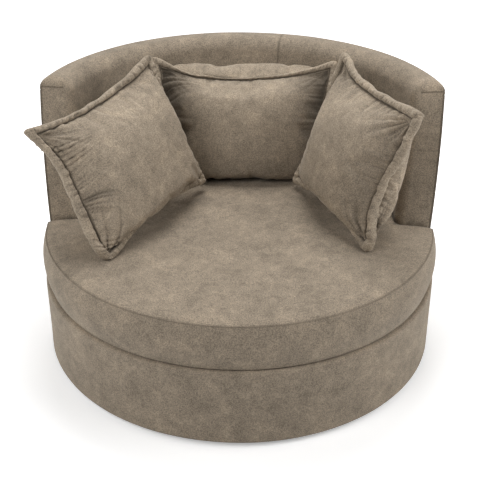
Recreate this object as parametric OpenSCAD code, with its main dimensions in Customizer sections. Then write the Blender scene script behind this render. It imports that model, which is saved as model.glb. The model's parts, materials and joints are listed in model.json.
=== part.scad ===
// Round swivel armchair with a wrap-round back, a seat cushion and three loose flanged pillows.
// Origin on the swivel axis at the floor, +Z up, front of the chair towards -Y, millimetres.

/* [Drum under the seat] */
// Outer radius of the upholstered drum
drum_r = 622; // [600:1:660]
// Height of the drum's hem above the floor
hem_z = 12; // [10:1:20]
// Height of the deck that the seat cushion rests on
deck_z = 261; // [245:1:290]
// Thickness of the padding between the deck board and the seat cushion
deck_pad_t = 18; // [12:1:24]
// Radius of the rolled top edge of the drum
deck_roll = 9; // [6:1:14]
// Width of the padded edge round the deck, from the drum's outside
deck_edge_w = 32; // [28:1:36]

/* [Seat cushion] */
// Height of the boxed side of the seat cushion
seat_h = 144; // [110:1:180]
// Distance of the seat cushion's seams inside the drum's side
seat_inset = 10; // [0:1:20]
// How far the boxed side swells past its seams
seat_belly = 12; // [2:1:14]
// Rise of the top panel from its seam to its middle
seat_crown = 20; // [5:1:40]
// Gap between the seat cushion and the back that it tucks against
seat_gap = 1; // [0.5:0.1:3]
// Thickness of the fibre wrap round the cushion's foam
wadding_t = 12; // [6:1:20]

/* [Back] */
// Height of the back above the deck
back_h = 565; // [480:5:640]
// Distance of the back's foot inside the drum's side
back_inset = 34; // [26:1:44]
// Slope of the back's outside, from upright
back_flare = 5.66; // [2:0.1:8]
// Slope of the back's inside, from upright
back_rake = 8.2; // [4:0.1:11]
// Thickness of the upholstered wall at the deck
back_foot_t = 120; // [100:1:140]
// Distance that the arms' ends stand in front of the swivel axis, at the seat's seam
arm_front = 36; // [0:1:80]
// Slope of the arms' ends, from upright
arm_lean = 21.4; // [10:0.2:28]
// Rounding of the back's outer top edge
top_out_r = 25; // [15:1:35]
// Rounding of the back's inner top edge
top_in_r = 50; // [30:1:60]
// Rounding at the top of the arms' ends
end_top_r = 40; // [36:1:60]
// Rounding of the inner corners of the arms' ends
end_in_r = 30; // [20:1:45]
// Distance from the top of the upholstery down to the frame
top_pad = 34; // [26:1:45]
// Thickness of the padding on the arms' ends
end_pad = 28; // [20:1:32]
// Margin of the outside panel from the ends and the top edge
panel_margin = 9; // [6:1:20]

/* [Frame] */
// Thickness of the plywood boards and rails
board_t = 18; // [15:1:22]
// Thickness of the bent hardboard panels
panel_t = 3; // [2:0.5:4]
// Depth of the back's posts and rails, across the wall
post_d = 34; // [25:1:40]
// Width of a post, round the wall
post_w = 45; // [35:1:60]
// Number of upright posts in the drum
drum_posts = 12; // [8:2:14]
// Number of upright posts in the back, between the arm posts
back_posts_n = 7; // [5:2:9]
// Angle between the outermost of those posts
back_posts_span = 120; // [100:2:124]
// Width of the deck board beside its opening
deck_side_w = 196; // [186:5:226]
// Width of the deck board in front of its opening
deck_front_w = 226; // [206:5:256]
// Corner radius of the opening in the deck board
opening_r = 60; // [40:5:80]
// Thickness of the cover fabric
cover_t = 2; // [1:0.5:3]
// Thickness of the foam wrap on the drum
wrap_t = 11; // [8:1:15]
// Gap between the layers of the back
layer_gap = 0.2; // [0.1:0.05:0.5]

/* [Springs] */
// Number of sinuous springs
spring_n = 7; // [5:1:8]
// Diameter of the spring wire
wire_d = 3.8; // [3:0.2:4.4]
// Width of a spring across its loops
spring_w = 50; // [40:2:56]
// Number of half loops in a spring
spring_loops = 20; // [16:2:24]
// Width of the wooden rails that hold the springs
rail_w = 60; // [45:5:70]
// Height of the spring rails
rail_h = 30; // [24:2:40]
// Thickness of a spring clip
clip_t = 1.2; // [1:0.1:2]

/* [Swivel] */
// Diameter of the steel tube of the floor ring
tube_d = 25; // [20:1:30]
// Wall of the steel tube
tube_wall = 2; // [1.5:0.5:3]
// Radius of the floor ring, to the middle of its tube
ring_r = 300; // [260:5:340]
// Height of a floor glide under the ring
glide_h = 6; // [4:1:10]
// Number of floor glides
glide_n = 6; // [5:1:8]
// Side of the square swivel plates
plate_w = 300; // [280:5:320]
// Thickness of the swivel plates
plate_t = 3; // [2.5:0.5:4]
// Radius of the ball race
race_r = 95; // [85:1:105]
// Diameter of a bearing ball
ball_d = 9.5; // [8:0.5:11]
// Number of bearing balls
ball_n = 20; // [12:1:28]
// Radial play of the running fits
play = 0.05; // [0.02:0.01:0.1]
// Radius of the rivet that holds the plates together
rivet_r = 11; // [8:1:14]

/* [Fasteners] */
// Diameter of the frame and swivel bolts
bolt_d = 8; // [6:1:10]
// Distance of the swivel bolts from the axis along X and along Y
bolt_pitch = 128; // [115:1:130]

/* [Pillows] */
// Width of the left pillow with its flange
left_w = 530; // [480:5:560]
// Height of the left pillow with its flange
left_h = 460; // [400:5:480]
// Width of the right pillow with its flange
right_w = 485; // [450:5:510]
// Height of the right pillow with its flange
right_h = 455; // [400:5:480]
// Width of the centre pillow with its flange
centre_w = 630; // [570:5:640]
// Height of the centre pillow with its flange
centre_h = 405; // [370:5:420]
// Greatest thickness of a pillow
pillow_t = 180; // [140:5:200]
// Width of the stuffed flange round a pillow
flange_w = 25; // [18:1:30]
// Thickness of the stuffed flange
flange_t = 23; // [14:1:26]
// Thickness of a pillow along the stitched groove inside its flange
groove_t = 7; // [5:1:10]
// Thickness of a pillow's cover with its lining
pillow_skin = 4; // [3:0.5:6]
// Least gap between a pillow and what it rests on or leans against
pillow_gap = 2; // [1:0.5:5]
// Distance along X from the back's inside, at the seat, to the left pillow's rear edge
left_in = 279; // [239:1:289]
// Distance of the left pillow's rear edge in front of the centre pillow's middle
left_front = 155; // [145:1:200]
// Distance along X from the back's inside, at the seat, to the right pillow's rear edge
right_in = 242; // [209:1:254]
// Distance of the right pillow's rear edge in front of the centre pillow's middle
right_front = 120; // [110:1:170]

/* [Hidden] */
$fn = 48;

// Colours
taupe = [0.57, 0.52, 0.45];
taupe_dark = [0.47, 0.43, 0.37];
steel = [0.62, 0.63, 0.65];
black_steel = [0.12, 0.12, 0.13];
plywood = [0.78, 0.64, 0.44];
hardboard = [0.50, 0.36, 0.24];
foam = [0.93, 0.88, 0.70];
fibre = [0.95, 0.95, 0.95];
cambric = [0.10, 0.10, 0.10];
nylon = [0.85, 0.85, 0.82];

// Heights of the stack, from the floor up
ring_z = glide_h + tube_d / 2;
spoke_h = tube_d - 5;
lower_plate_z = ring_z + spoke_h / 2;
race_depth = plate_t * 0.6;
ball_z = lower_plate_z + plate_t - race_depth + ball_d / 2 + play;
upper_plate_z = ball_z + ball_d / 2 + play - race_depth;
bottom_board_z = upper_plate_z + plate_t;
deck_board_top = deck_z - deck_pad_t;
deck_board_z = deck_board_top - board_t;
seat_z = deck_z + seat_h;
back_top_z = deck_z + back_h;

// Radii of the seat cushion at its seams and of the back's foot
seat_r = drum_r - seat_inset;
back_foot_r = drum_r - back_inset;

// Radii of the drum's layers
wrap_r = drum_r - cover_t;
band_r = wrap_r - wrap_t;
frame_r = band_r - panel_t;
deck_edge_r = drum_r - deck_edge_w;
hem_in_r = frame_r - 10;
hem_roll = wrap_t + cover_t;

// Half-width and half-depth of the opening in the deck board
opening_x = frame_r - deck_side_w;
opening_y = frame_r - deck_front_w;

big = 1200;
eps = 0.01;

// Outer and inner radius of the back's wall at height z
function back_out(z) = back_foot_r + (z - deck_z) * tan(back_flare);
function back_in(z) = back_foot_r - back_foot_t + (z - deck_z) * tan(back_rake);
// Front line of the arms' ends at height z
function arm_y(z) = -arm_front + (z - seat_z) * tan(arm_lean);
// Height of the seat's crowned top at distance r from the axis
function seat_top(r) = seat_z + (r < seat_r ? seat_crown * pow(1 - pow(r / seat_r, 3), 0.6) : 0);

// Points along an arc, from angle a0 to a1
function arc(cx, cy, r, a0, a1, n = 5) =
    [for (i = [0:n]) let (a = a0 + (a1 - a0) * i / n) [cx + r * cos(a), cy + r * sin(a)]];

module ring(r_in, r_out, z0, z1) {
    translate([0, 0, z0]) difference() {
        cylinder(h = z1 - z0, r = r_out);
        translate([0, 0, -1]) cylinder(h = z1 - z0 + 2, r = r_in);
    }
}

module around(n, r, start = 0) {
    for (i = [0:n - 1]) rotate(start + 360 * i / n) translate([r, 0, 0]) children();
}

// The part of a shape between two heights
module slab(z0, z1) {
    intersection() {
        children();
        translate([-big, -big, z0]) cube([2 * big, 2 * big, z1 - z0]);
    }
}

// Everything behind the arms' ends, d inside their finished faces, rounded at the top
module behind_ends(d, z0 = 0) {
    cz = back_top_z - end_top_r;
    cy = arm_y(cz) + end_top_r / cos(arm_lean);
    line_y = arm_y(z0) + d / cos(arm_lean);
    rotate([90, 0, 90]) translate([0, 0, -big]) linear_extrude(2 * big)
        polygon(concat([[line_y, z0]], arc(cy, cz, end_top_r - d, 180 - arm_lean, 90, 6),
            [[cy, big], [big, big], [big, z0]]));
}

// Middle line of the rounding between the right arm's end and the wall's inside, at height z.
// The rounding stands a little proud of both faces, so that it crosses them cleanly.
corner_depth = end_in_r - 0.4;
function corner_y(z) = arm_y(z) + corner_depth / cos(arm_lean);
function corner_out(z) = back_in(z) + corner_depth / cos(back_rake);
function corner_x(z) = sqrt(pow(corner_out(z), 2) - pow(corner_y(z), 2));

// Cutter that rounds the inner corner of the right arm's end: a short piece of a large ring that
// lies along the end's slope and bends with the corner
module end_corner(d) {
    z0 = deck_board_top - 1.8 * end_in_r;
    z1 = back_top_z + 0.4 * end_in_r;
    mid_z = (z0 + z1) / 2;
    mid_x = (corner_x(z0) + corner_x(z1)) / 2;
    across = corner_x(z1) - corner_x(z0);
    along = (z1 - z0) / cos(arm_lean);
    tilt = atan(across / along);
    chord = norm([across, along]);
    bow = (corner_x(mid_z) - mid_x) * cos(tilt);
    ring_radius = (chord * chord / 4 + bow * bow) / (2 * bow);
    half_arc = asin(chord / 2 / ring_radius);
    facing = corner_y(mid_z) / corner_out(mid_z) * cos(back_rake) * cos(arm_lean);
    turn = asin(facing + sin(back_rake) * sin(arm_lean));
    reach = 1.8 * end_in_r;
    translate([0, corner_y(z0), z0]) rotate([90 - arm_lean, 0, 0])
        translate([mid_x - (ring_radius - bow) * cos(tilt), along / 2 + (ring_radius - bow) * sin(tilt), 0])
            rotate(-tilt - half_arc) rotate_extrude(angle = 2 * half_arc, $fn = 480)
                translate([ring_radius, 0]) difference() {
                    polygon([[0, 0], [-reach * cos(turn), reach * sin(turn)], [-reach, reach], [0, reach]]);
                    circle(r = end_in_r - d, $fn = 48);
                }
}

// The back as upholstered, with its surfaces moved in by d and its foot at z0
module back_body(d, z0) {
    z1 = back_top_z;
    difference() {
        intersection() {
            rotate_extrude($fn = 96) polygon(concat(
                [[back_out(z0) - d, z0]],
                arc(back_out(z1 - top_out_r) - top_out_r, z1 - top_out_r, top_out_r - d, 0, 90, 4),
                arc(back_in(z1 - top_in_r) + top_in_r, z1 - top_in_r, top_in_r - d, 90, 180, 6),
                [[back_in(z0) + d, z0]]));
            behind_ends(d, z0 - 20);
        }
        end_corner(d);
        mirror([1, 0, 0]) end_corner(d);
    }
}

// A layer of the back's wall, between two depths below its outside
module wall_layer(depth0, depth1, z0, z1) {
    rotate_extrude($fn = 96) polygon([
        [back_out(z0) - depth1, z0], [back_out(z0) - depth0, z0],
        [back_out(z1) - depth0, z1], [back_out(z1) - depth1, z1]]);
}

// Depths of the back's layers below its outside
outer_board_out = cover_t + layer_gap;
outer_board_in = outer_board_out + panel_t;
post_out = outer_board_in + layer_gap;
post_in = post_out + post_d;
inner_board_out = post_in + layer_gap;
inner_board_in = inner_board_out + panel_t;
frame_top = back_top_z - top_pad;

// A layer of the back's frame, cut off behind the padding of the arms' ends
module frame_layer(depth0, depth1, z0, z1) {
    intersection() {
        wall_layer(depth0, depth1, z0, z1);
        behind_ends(end_pad, z0 - 20);
    }
}

// The room that the back takes at the seat's height, and all outside it, d larger
module back_space(d) {
    z0 = deck_z - 20;
    z1 = seat_z + seat_crown + 20;
    difference() {
        intersection() {
            rotate_extrude($fn = 96) polygon([[back_in(z0) - d, z0], [big, z0], [big, z1], [back_in(z1) - d, z1]]);
            behind_ends(-d, 0);
        }
        end_corner(-d);
        mirror([1, 0, 0]) end_corner(-d);
    }
}

// The seat cushion with its surfaces moved in by d
module seat_body(d) {
    r = seat_r - d;
    z0 = deck_z + d;
    z1 = seat_z - d;
    roll = 10;
    side = [for (i = [0:5]) let (t = i / 5) [
        r + seat_belly * (1 - pow(2 * t - 1, 2)), z0 + roll + (z1 - z0 - roll) * t]];
    top = [for (a = [81:-9:9]) [r * sin(a), z1 + seat_top(seat_r * sin(a)) - seat_z]];
    difference() {
        rotate_extrude($fn = 96) polygon(concat([[0, z0]], arc(r - roll, z0 + roll, roll, -90, -15, 3),
            side, top, [[0, z1 + seat_crown]]));
        back_space(seat_gap + d);
    }
}

module seat_shell() {
    difference() {
        seat_body(0);
        seat_body(cover_t);
    }
}

module floor_glides() {
    color(nylon) around(glide_n, ring_r, 30) union() {
        cylinder(h = glide_h, r = 15);
        cylinder(h = glide_h + tube_d * 0.6, r = 4);
    }
}

module base_ring() {
    color(black_steel) difference() {
        translate([0, 0, ring_z]) rotate_extrude($fn = 96) translate([ring_r, 0]) difference() {
            circle(d = tube_d);
            circle(d = tube_d - 2 * tube_wall);
        }
        around(glide_n, ring_r, 30) translate([0, 0, -1]) cylinder(h = glide_h + tube_d * 0.6, r = 4 + play);
    }
}

spoke_w = 30;
spoke_off = bolt_pitch * 0.7;

module spoke_points() {
    for (x = [-1, 1], y = [-1, 1]) translate([x * spoke_off, y * spoke_off, 0]) children();
}

module bolt_points() {
    for (x = [-1, 1], y = [-1, 1]) translate([x * bolt_pitch, y * bolt_pitch, 0]) children();
}

// Two parallel steel box tubes across the floor ring, notched round its own tube
module bar_pair(a) {
    in = tube_wall;
    difference() {
        intersection() {
            cylinder(h = 2 * ring_z, r = ring_r);
            for (s = [-1, 1]) rotate(a) translate([-ring_r, s * spoke_off - spoke_w / 2, lower_plate_z - spoke_h])
                difference() {
                    cube([2 * ring_r, spoke_w, spoke_h]);
                    translate([-1, in, in]) cube([2 * ring_r + 2, spoke_w - 2 * in, spoke_h - 2 * in]);
                }
        }
        translate([0, 0, ring_z]) rotate_extrude($fn = 96) translate([ring_r, 0]) circle(d = tube_d);
    }
}

module base_rails() {
    color(black_steel) difference() {
        bar_pair(0);
        spoke_points() translate([0, 0, lower_plate_z - screw_l]) cylinder(h = screw_l + 1, r = screw_r + play);
    }
}

module base_crossbars() {
    color(black_steel) difference() {
        bar_pair(90);
        for (s = [-1, 1]) translate([-ring_r, s * spoke_off - spoke_w / 2, 0]) cube([2 * ring_r, spoke_w, 2 * ring_z]);
    }
}

screw_r = 3;
screw_l = 12;
head_h = 2.5;
race_r_fit = ball_d / 2 + play;

// Stamped square plate with rounded corners, a ball race and a centre hole
module swivel_plate(z, hole_r) {
    corner = 12;
    half = plate_w / 2 - corner;
    difference() {
        translate([0, 0, z]) linear_extrude(plate_t) union() {
            square([plate_w, 2 * half], center = true);
            square([2 * half, plate_w], center = true);
            for (x = [-half, half], y = [-half, half]) translate([x, y]) circle(r = corner);
        }
        translate([0, 0, ball_z]) rotate_extrude($fn = 96) translate([race_r, 0]) circle(r = race_r_fit);
        translate([0, 0, z - 1]) cylinder(h = plate_t + 2, r = hole_r);
    }
}

module lower_swivel_plate() {
    color(steel) difference() {
        swivel_plate(lower_plate_z, rivet_r + play);
        spoke_points() translate([0, 0, lower_plate_z - 1]) cylinder(h = plate_t + 2, r = screw_r + play);
    }
}

module plate_screws() {
    color(steel) spoke_points() translate([0, 0, lower_plate_z + plate_t]) rotate_extrude()
        polygon(concat([[0, -screw_l], [screw_r, -screw_l], [screw_r, 0]],
            [for (a = [0:15:75]) [2 * screw_r * cos(a), head_h * sin(a)]], [[0, head_h]]));
}

module swivel_rivet() {
    flange = 6;
    color(steel) difference() {
        union() {
            translate([0, 0, lower_plate_z - 3]) cylinder(h = 3, r = rivet_r + flange);
            translate([0, 0, lower_plate_z - 3]) cylinder(h = bottom_board_z + 3 + play - lower_plate_z + 3,
                r = rivet_r);
            translate([0, 0, bottom_board_z + play]) cylinder(h = 3, r = rivet_r + flange);
        }
        translate([0, 0, lower_plate_z - 4]) cylinder(h = 60, r = rivet_r - 3);
    }
}

module bearing_cage() {
    color(nylon) difference() {
        ring(race_r - 8, race_r + 8, ball_z - 1, ball_z + 1);
        around(ball_n, race_r) translate([0, 0, ball_z - 5]) cylinder(h = 10, r = race_r_fit);
    }
}

module bearing_balls() {
    color(steel) around(ball_n, race_r) translate([0, 0, ball_z]) sphere(d = ball_d);
}

module upper_swivel_plate() {
    color(steel) difference() {
        swivel_plate(upper_plate_z, rivet_r + play);
        bolt_points() translate([0, 0, upper_plate_z - 1]) cylinder(h = plate_t + 2, r = bolt_d / 2 + play);
    }
}

// Button head with a shank that points up from z = 0 to length l
module button_bolt(l) {
    r = bolt_d / 2;
    rotate_extrude() polygon(concat([[0, l], [r, l], [r, 0]],
        [for (a = [0:-15:-75]) [2.2 * r * cos(a), 4 * sin(a)]], [[0, -4]]));
}

module swivel_bolts() {
    color(steel) bolt_points() translate([0, 0, upper_plate_z]) button_bolt(plate_t + board_t);
}

tee_r = bolt_d / 2 + 1.2;
tee_l = 12;
module swivel_nuts() {
    z = bottom_board_z + board_t;
    color(steel) bolt_points() difference() {
        union() {
            translate([0, 0, z]) cylinder(h = 1.5, r = tee_r + 5);
            translate([0, 0, z - tee_l]) cylinder(h = tee_l + 1, r = tee_r);
        }
        translate([0, 0, z - tee_l - 1]) cylinder(h = tee_l + 4, r = bolt_d / 2 + play);
    }
}

vent_r = 50;
module bottom_board() {
    z = bottom_board_z;
    color(plywood) difference() {
        translate([0, 0, z]) cylinder(h = board_t, r = frame_r);
        translate([0, 0, z - 1]) cylinder(h = board_t + 2, r = rivet_r + 12);
        bolt_points() translate([0, 0, z - 1]) cylinder(h = board_t + 2, r = bolt_d / 2 + play);
        bolt_points() translate([0, 0, z + board_t - tee_l]) cylinder(h = tee_l + 1, r = tee_r + play);
        around(4, frame_r * 0.66, 45) translate([0, 0, z - 1]) cylinder(h = board_t + 2, r = vent_r);
    }
}

module drum_posts_set() {
    z0 = bottom_board_z + board_t;
    color(plywood) intersection() {
        translate([0, 0, z0]) cylinder(h = deck_board_z - z0, r = frame_r, $fn = 200);
        around(drum_posts, frame_r - post_d, 15) translate([0, -post_w / 2, z0 - 1])
            cube([2 * post_d, post_w, deck_board_z - z0 + 2]);
    }
}

bolt_r_at = back_out(deck_board_top) - (post_out + post_in) / 2;
module back_bolt_points() {
    step = back_posts_span / (back_posts_n - 1);
    for (k = [1:back_posts_n - 1]) rotate(90 + (k - back_posts_n / 2) * step)
        translate([bolt_r_at, 0, 0]) children();
}

module deck_board() {
    x = opening_x - opening_r;
    y = opening_y - opening_r;
    color(plywood) difference() {
        translate([0, 0, deck_board_z]) cylinder(h = board_t, r = frame_r);
        translate([0, 0, deck_board_z - 1]) linear_extrude(board_t + 2) union() {
            square([2 * x, 2 * opening_y], center = true);
            square([2 * opening_x, 2 * y], center = true);
            for (i = [-x, x], j = [-y, y]) translate([i, j]) circle(r = opening_r);
        }
        back_bolt_points() translate([0, 0, deck_board_z - 1]) cylinder(h = board_t + 2, r = bolt_d / 2 + play);
    }
}

// How far a spring rail stands into the opening of the deck board
rail_ledge = 15;
module spring_rails() {
    half = opening_x - opening_r;
    color(plywood) for (s = [0, 180]) rotate(s)
        translate([-half, opening_y - rail_ledge, deck_board_z - rail_h]) cube([2 * half, rail_w, rail_h]);
}

spring_end_y = opening_y - rail_ledge / 2;
spring_end_z = deck_board_z + clip_t + wire_d / 2;
spring_top_z = deck_board_top - wire_d / 2;
function spring_x(i) = spring_n < 2 ? 0 : (opening_x - opening_r - 15) * (2 * i / (spring_n - 1) - 1);

// A sinuous spring's centre line: bars across it, joined by a turn at alternate ends
function spring_path() = let (p = 2 * spring_end_y / spring_loops, w = spring_w / 2, c = 0.3 * p)
    concat([for (k = [0:spring_loops - 1]) let (s = k % 2 == 0 ? 1 : -1, y = -spring_end_y + k * p)
        each [[-s * (w - c), y], [s * (w - c), y], [s * w, y + 0.28 * p], [s * w, y + 0.72 * p]]],
        [[(w - c) * (spring_loops % 2 == 0 ? -1 : 1), spring_end_y],
         [(w - c) * (spring_loops % 2 == 0 ? 1 : -1), spring_end_y]]);
function spring_z(y) = spring_end_z + (spring_top_z - spring_end_z) * (1 - pow(y / spring_end_y, 2));

// Wire of four sides along a flat path, raised by spring_z
module spring_wire(path) {
    n = len(path);
    unit = function (v) v / max(norm(v), eps);
    points = [for (i = [0:n - 1]) let (
        before = unit(path[i] - path[max(i - 1, 0)]), after = unit(path[min(i + 1, n - 1)] - path[i]),
        t = unit(i == 0 ? after : i == n - 1 ? before : before + after),
        stretch = i == 0 || i == n - 1 ? 1 : 1 / max(0.6, sqrt((1 + before * after) / 2)),
        side = [-t.y, t.x] * wire_d / 2 * stretch, z = spring_z(path[i].y))
        each [[path[i].x + side.x, path[i].y + side.y, z], [path[i].x, path[i].y, z + wire_d / 2],
              [path[i].x - side.x, path[i].y - side.y, z], [path[i].x, path[i].y, z - wire_d / 2]]];
    faces = concat([[0, 1, 2], [0, 2, 3]], [for (i = [0:n - 2], j = [0:3]) let (k = (j + 1) % 4)
        each [[4 * i + j, 4 * i + 4 + j, 4 * i + 4 + k], [4 * i + j, 4 * i + 4 + k, 4 * i + k]]],
        [[4 * n - 4, 4 * n - 2, 4 * n - 3], [4 * n - 4, 4 * n - 1, 4 * n - 2]]);
    polyhedron(points, faces);
}

module seat_springs() {
    path = spring_path();
    color(steel) for (i = [0:spring_n - 1]) translate([spring_x(i), 0, 0]) spring_wire(path);
}

clip_w = 18;
module spring_clips() {
    r = wire_d / 2 + clip_t;
    color(steel) for (i = [0:spring_n - 1], s = [0, 180]) translate([spring_x(i), 0, 0]) rotate(s)
        translate([-clip_w / 2, spring_end_y, deck_board_z]) difference() {
            union() {
                translate([0, -r, 0]) cube([clip_w, r + rail_ledge / 2 - 1, clip_t]);
                translate([0, 0, r]) rotate([0, 90, 0]) cylinder(h = clip_w, r = r);
            }
            translate([-1, 0, r]) rotate([0, 90, 0]) cylinder(h = clip_w + 2, r = wire_d / 2 + play);
            translate([-1, -2 * r, r - wire_d * 0.1]) cube([clip_w + 2, 2 * r, wire_d * 0.6]);
        }
}

module drum_band() {
    color(hardboard) ring(frame_r, band_r, hem_z + cover_t, deck_board_top);
}

module drum_foam() {
    color(foam) rotate_extrude($fn = 96) polygon(concat(
        [[band_r, hem_z + cover_t]],
        arc(band_r, hem_z + hem_roll, wrap_t, -75, 0, 4),
        arc(drum_r - deck_roll, deck_z - deck_roll, deck_roll - cover_t, 0, 90, 4),
        [[deck_edge_r, deck_z - cover_t], [deck_edge_r, deck_board_top], [band_r, deck_board_top]]));
}

module drum_cover() {
    color(taupe) rotate_extrude($fn = 96) polygon(concat(
        [[hem_in_r, hem_z]],
        arc(band_r, hem_z + hem_roll, hem_roll, -90, 0, 5),
        arc(drum_r - deck_roll, deck_z - deck_roll, deck_roll, 0, 90, 4),
        [[deck_edge_r, deck_z], [deck_edge_r, deck_z - cover_t]],
        arc(drum_r - deck_roll, deck_z - deck_roll, deck_roll - cover_t, 90, 0, 4),
        arc(band_r, hem_z + hem_roll, wrap_t, 0, -75, 4),
        [[band_r, hem_z + cover_t], [hem_in_r, hem_z + cover_t]]));
}

module dust_cover() {
    color(cambric) ring(plate_w * 0.75, frame_r, bottom_board_z - 1, bottom_board_z);
}

// A layer of the deck, stopped short of the back that stands on the deck board
module deck_layer(z0, z1) {
    difference() {
        translate([0, 0, z0]) cylinder(h = z1 - z0, r = deck_edge_r);
        intersection() {
            ring(back_in(deck_board_top) - seat_gap, big, z0 - 1, z1 + 1);
            behind_ends(-seat_gap, z0 - 20);
        }
    }
}

cloth_t = 1;
module deck_pad() {
    color(fibre) deck_layer(deck_board_top, deck_z - cloth_t);
}

module deck_cloth() {
    color(cambric) deck_layer(deck_z - cloth_t, deck_z);
}

module seat_foam() {
    color(foam) seat_body(cover_t + wadding_t);
}

module seat_wadding() {
    color(fibre) difference() {
        seat_body(cover_t);
        seat_body(cover_t + wadding_t);
    }
}

module seat_top_panel() {
    color(taupe) slab(seat_z - cover_t / 2, big) seat_shell();
}

module seat_boxing() {
    color(taupe) slab(deck_z + cover_t, seat_z - cover_t / 2) seat_shell();
}

module seat_bottom_panel() {
    color(taupe_dark) slab(0, deck_z + cover_t) seat_shell();
}

module back_bottom_rail() {
    z = deck_board_top;
    color(plywood) difference() {
        frame_layer(post_out, post_in, z, z + board_t);
        back_bolt_points() translate([0, 0, z - 1]) cylinder(h = board_t + 2, r = bolt_d / 2 + play);
    }
}

module back_top_rail() {
    color(plywood) frame_layer(post_out, post_in, frame_top - board_t, frame_top);
}

module arm_posts() {
    z0 = deck_board_top + board_t;
    color(plywood) difference() {
        frame_layer(post_out, post_in, z0, frame_top - board_t);
        translate([0, post_w / cos(arm_lean), 0]) behind_ends(end_pad, z0 - 20);
    }
}

module back_posts() {
    z0 = deck_board_top + board_t;
    z1 = frame_top - board_t;
    step = back_posts_span / (back_posts_n - 1);
    color(plywood) intersection() {
        wall_layer(post_out, post_in, z0, z1);
        for (k = [0:back_posts_n - 1]) rotate(90 + (k - (back_posts_n - 1) / 2) * step)
            translate([back_in(z0), -post_w / 2, z0 - 1]) cube([back_out(z1) - back_in(z0), post_w, z1 - z0 + 2]);
    }
}

module inner_back_board() {
    color(hardboard) frame_layer(inner_board_out, inner_board_in, deck_board_top, frame_top);
}

module outer_back_board() {
    color(hardboard) frame_layer(outer_board_out, outer_board_in, deck_board_top, frame_top);
}

nut_h = 6.5;
module back_bolts() {
    l = 2 * board_t + nut_h + 3;
    color(steel) back_bolt_points() translate([0, 0, deck_board_z]) union() {
        button_bolt(l);
        translate([0, 0, 2 * board_t]) cylinder(h = 1.5, r = bolt_d);
        translate([0, 0, 2 * board_t + 1.5]) cylinder(h = nut_h, r = bolt_d * 0.8, $fn = 6);
    }
}

module inside_back_foam() {
    color(foam) intersection() {
        slab(deck_board_top, frame_top) difference() {
            back_body(cover_t + layer_gap, deck_board_top);
            wall_layer(-big / 4, inner_board_in + layer_gap, deck_board_top - 5, frame_top + 5);
        }
        behind_ends(end_pad, 0);
    }
}

module top_foam() {
    color(foam) slab(frame_top, big) back_body(cover_t + layer_gap, deck_board_top);
}

module arm_end_pads() {
    color(foam) slab(0, frame_top) difference() {
        back_body(cover_t + layer_gap, deck_board_top);
        behind_ends(end_pad, 0);
    }
}

panel_top = back_top_z - top_out_r - panel_margin;
module inside_back_cover() {
    color(taupe) difference() {
        back_body(0, deck_board_top);
        back_body(cover_t, deck_board_top - 1);
        intersection() {
            wall_layer(-20, cover_t + 1, deck_board_top - 5, panel_top);
            behind_ends(panel_margin, 0);
        }
    }
}

module outside_back_cover() {
    color(taupe_dark) intersection() {
        wall_layer(0, cover_t, deck_board_top, panel_top);
        behind_ends(panel_margin, 0);
    }
}

// Pillows. Each one's sizes are a list: width, height, how far its left, right, bottom and top edge
// are drawn in, how far the stuffing in front of its seam swells over each of them, the same behind
// the seam, the twist of its corners, and how much more the lower half of its right side is drawn in.
left_pillow = [left_w, left_h, [0, 0.06, 0.19, 0.21] * pillow_t, [0, 0.17, 0.31, 0] * pillow_t,
    [0, 0, 0, 0], 0.117 * pillow_t, 0];
right_pillow = [right_w, right_h, [0.06, 0.16, 0.17, 0.14] * pillow_t, [0.17, 0, 0.31, 0] * pillow_t,
    [0, 0.25, 0, 0] * pillow_t, 0.022 * pillow_t, 1];
centre_pillow = [centre_w, centre_h, [0.11, 0.11, 0.22, 0.34] * pillow_t, [0, 0, 0.33, 0] * pillow_t,
    [0, 0, 0, 0.5] * pillow_t, 0, 0];
front_t = pillow_t * 0.47;
rear_t = pillow_t * 0.53;

flange_steps = [0, 0.16, 0.5, 0.84, 1, 1.5, 2.5, 4.2];
crown_steps = [1.5, 2.5, 4.2];
// Size of the stuffing, as a share of the room inside its cover
insert_share = 0.98;
// Distances from a pillow's middle to its grid lines, closer together near the edge
function stations(a, steps) = let (n = len(steps), in = a - steps[n - 1] * flange_w) concat(
    [for (s = steps) s * flange_w - a], [for (k = [-1:1]) k * in / 2],
    [for (i = [n - 1:-1:0]) a - steps[i] * flange_w]);

function puff(s) = pow(1 - pow(1 - s, 2.4), 0.62);
function half_thick(ex, ey, a, b, t) = let (e = min(ex, ey), g = groove_t / 2)
    e <= flange_w + eps ? g + (flange_t / 2 - g) * sqrt(max(0, 1 - pow(2 * e / flange_w - 1, 2)))
    : g + (t - g) * puff((ex - flange_w) / (a - flange_w)) * puff((ey - flange_w) / (b - flange_w));
// The swell over an edge; the stuffing inside the cover follows it in part
function swell(e, d) = (d > 0 ? 0.3 : 1)
    * sin(180 * max(0, min(1, (e - (d > 0 ? 1.5 : 1) * flange_w) / (4.5 * flange_w))));

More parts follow.
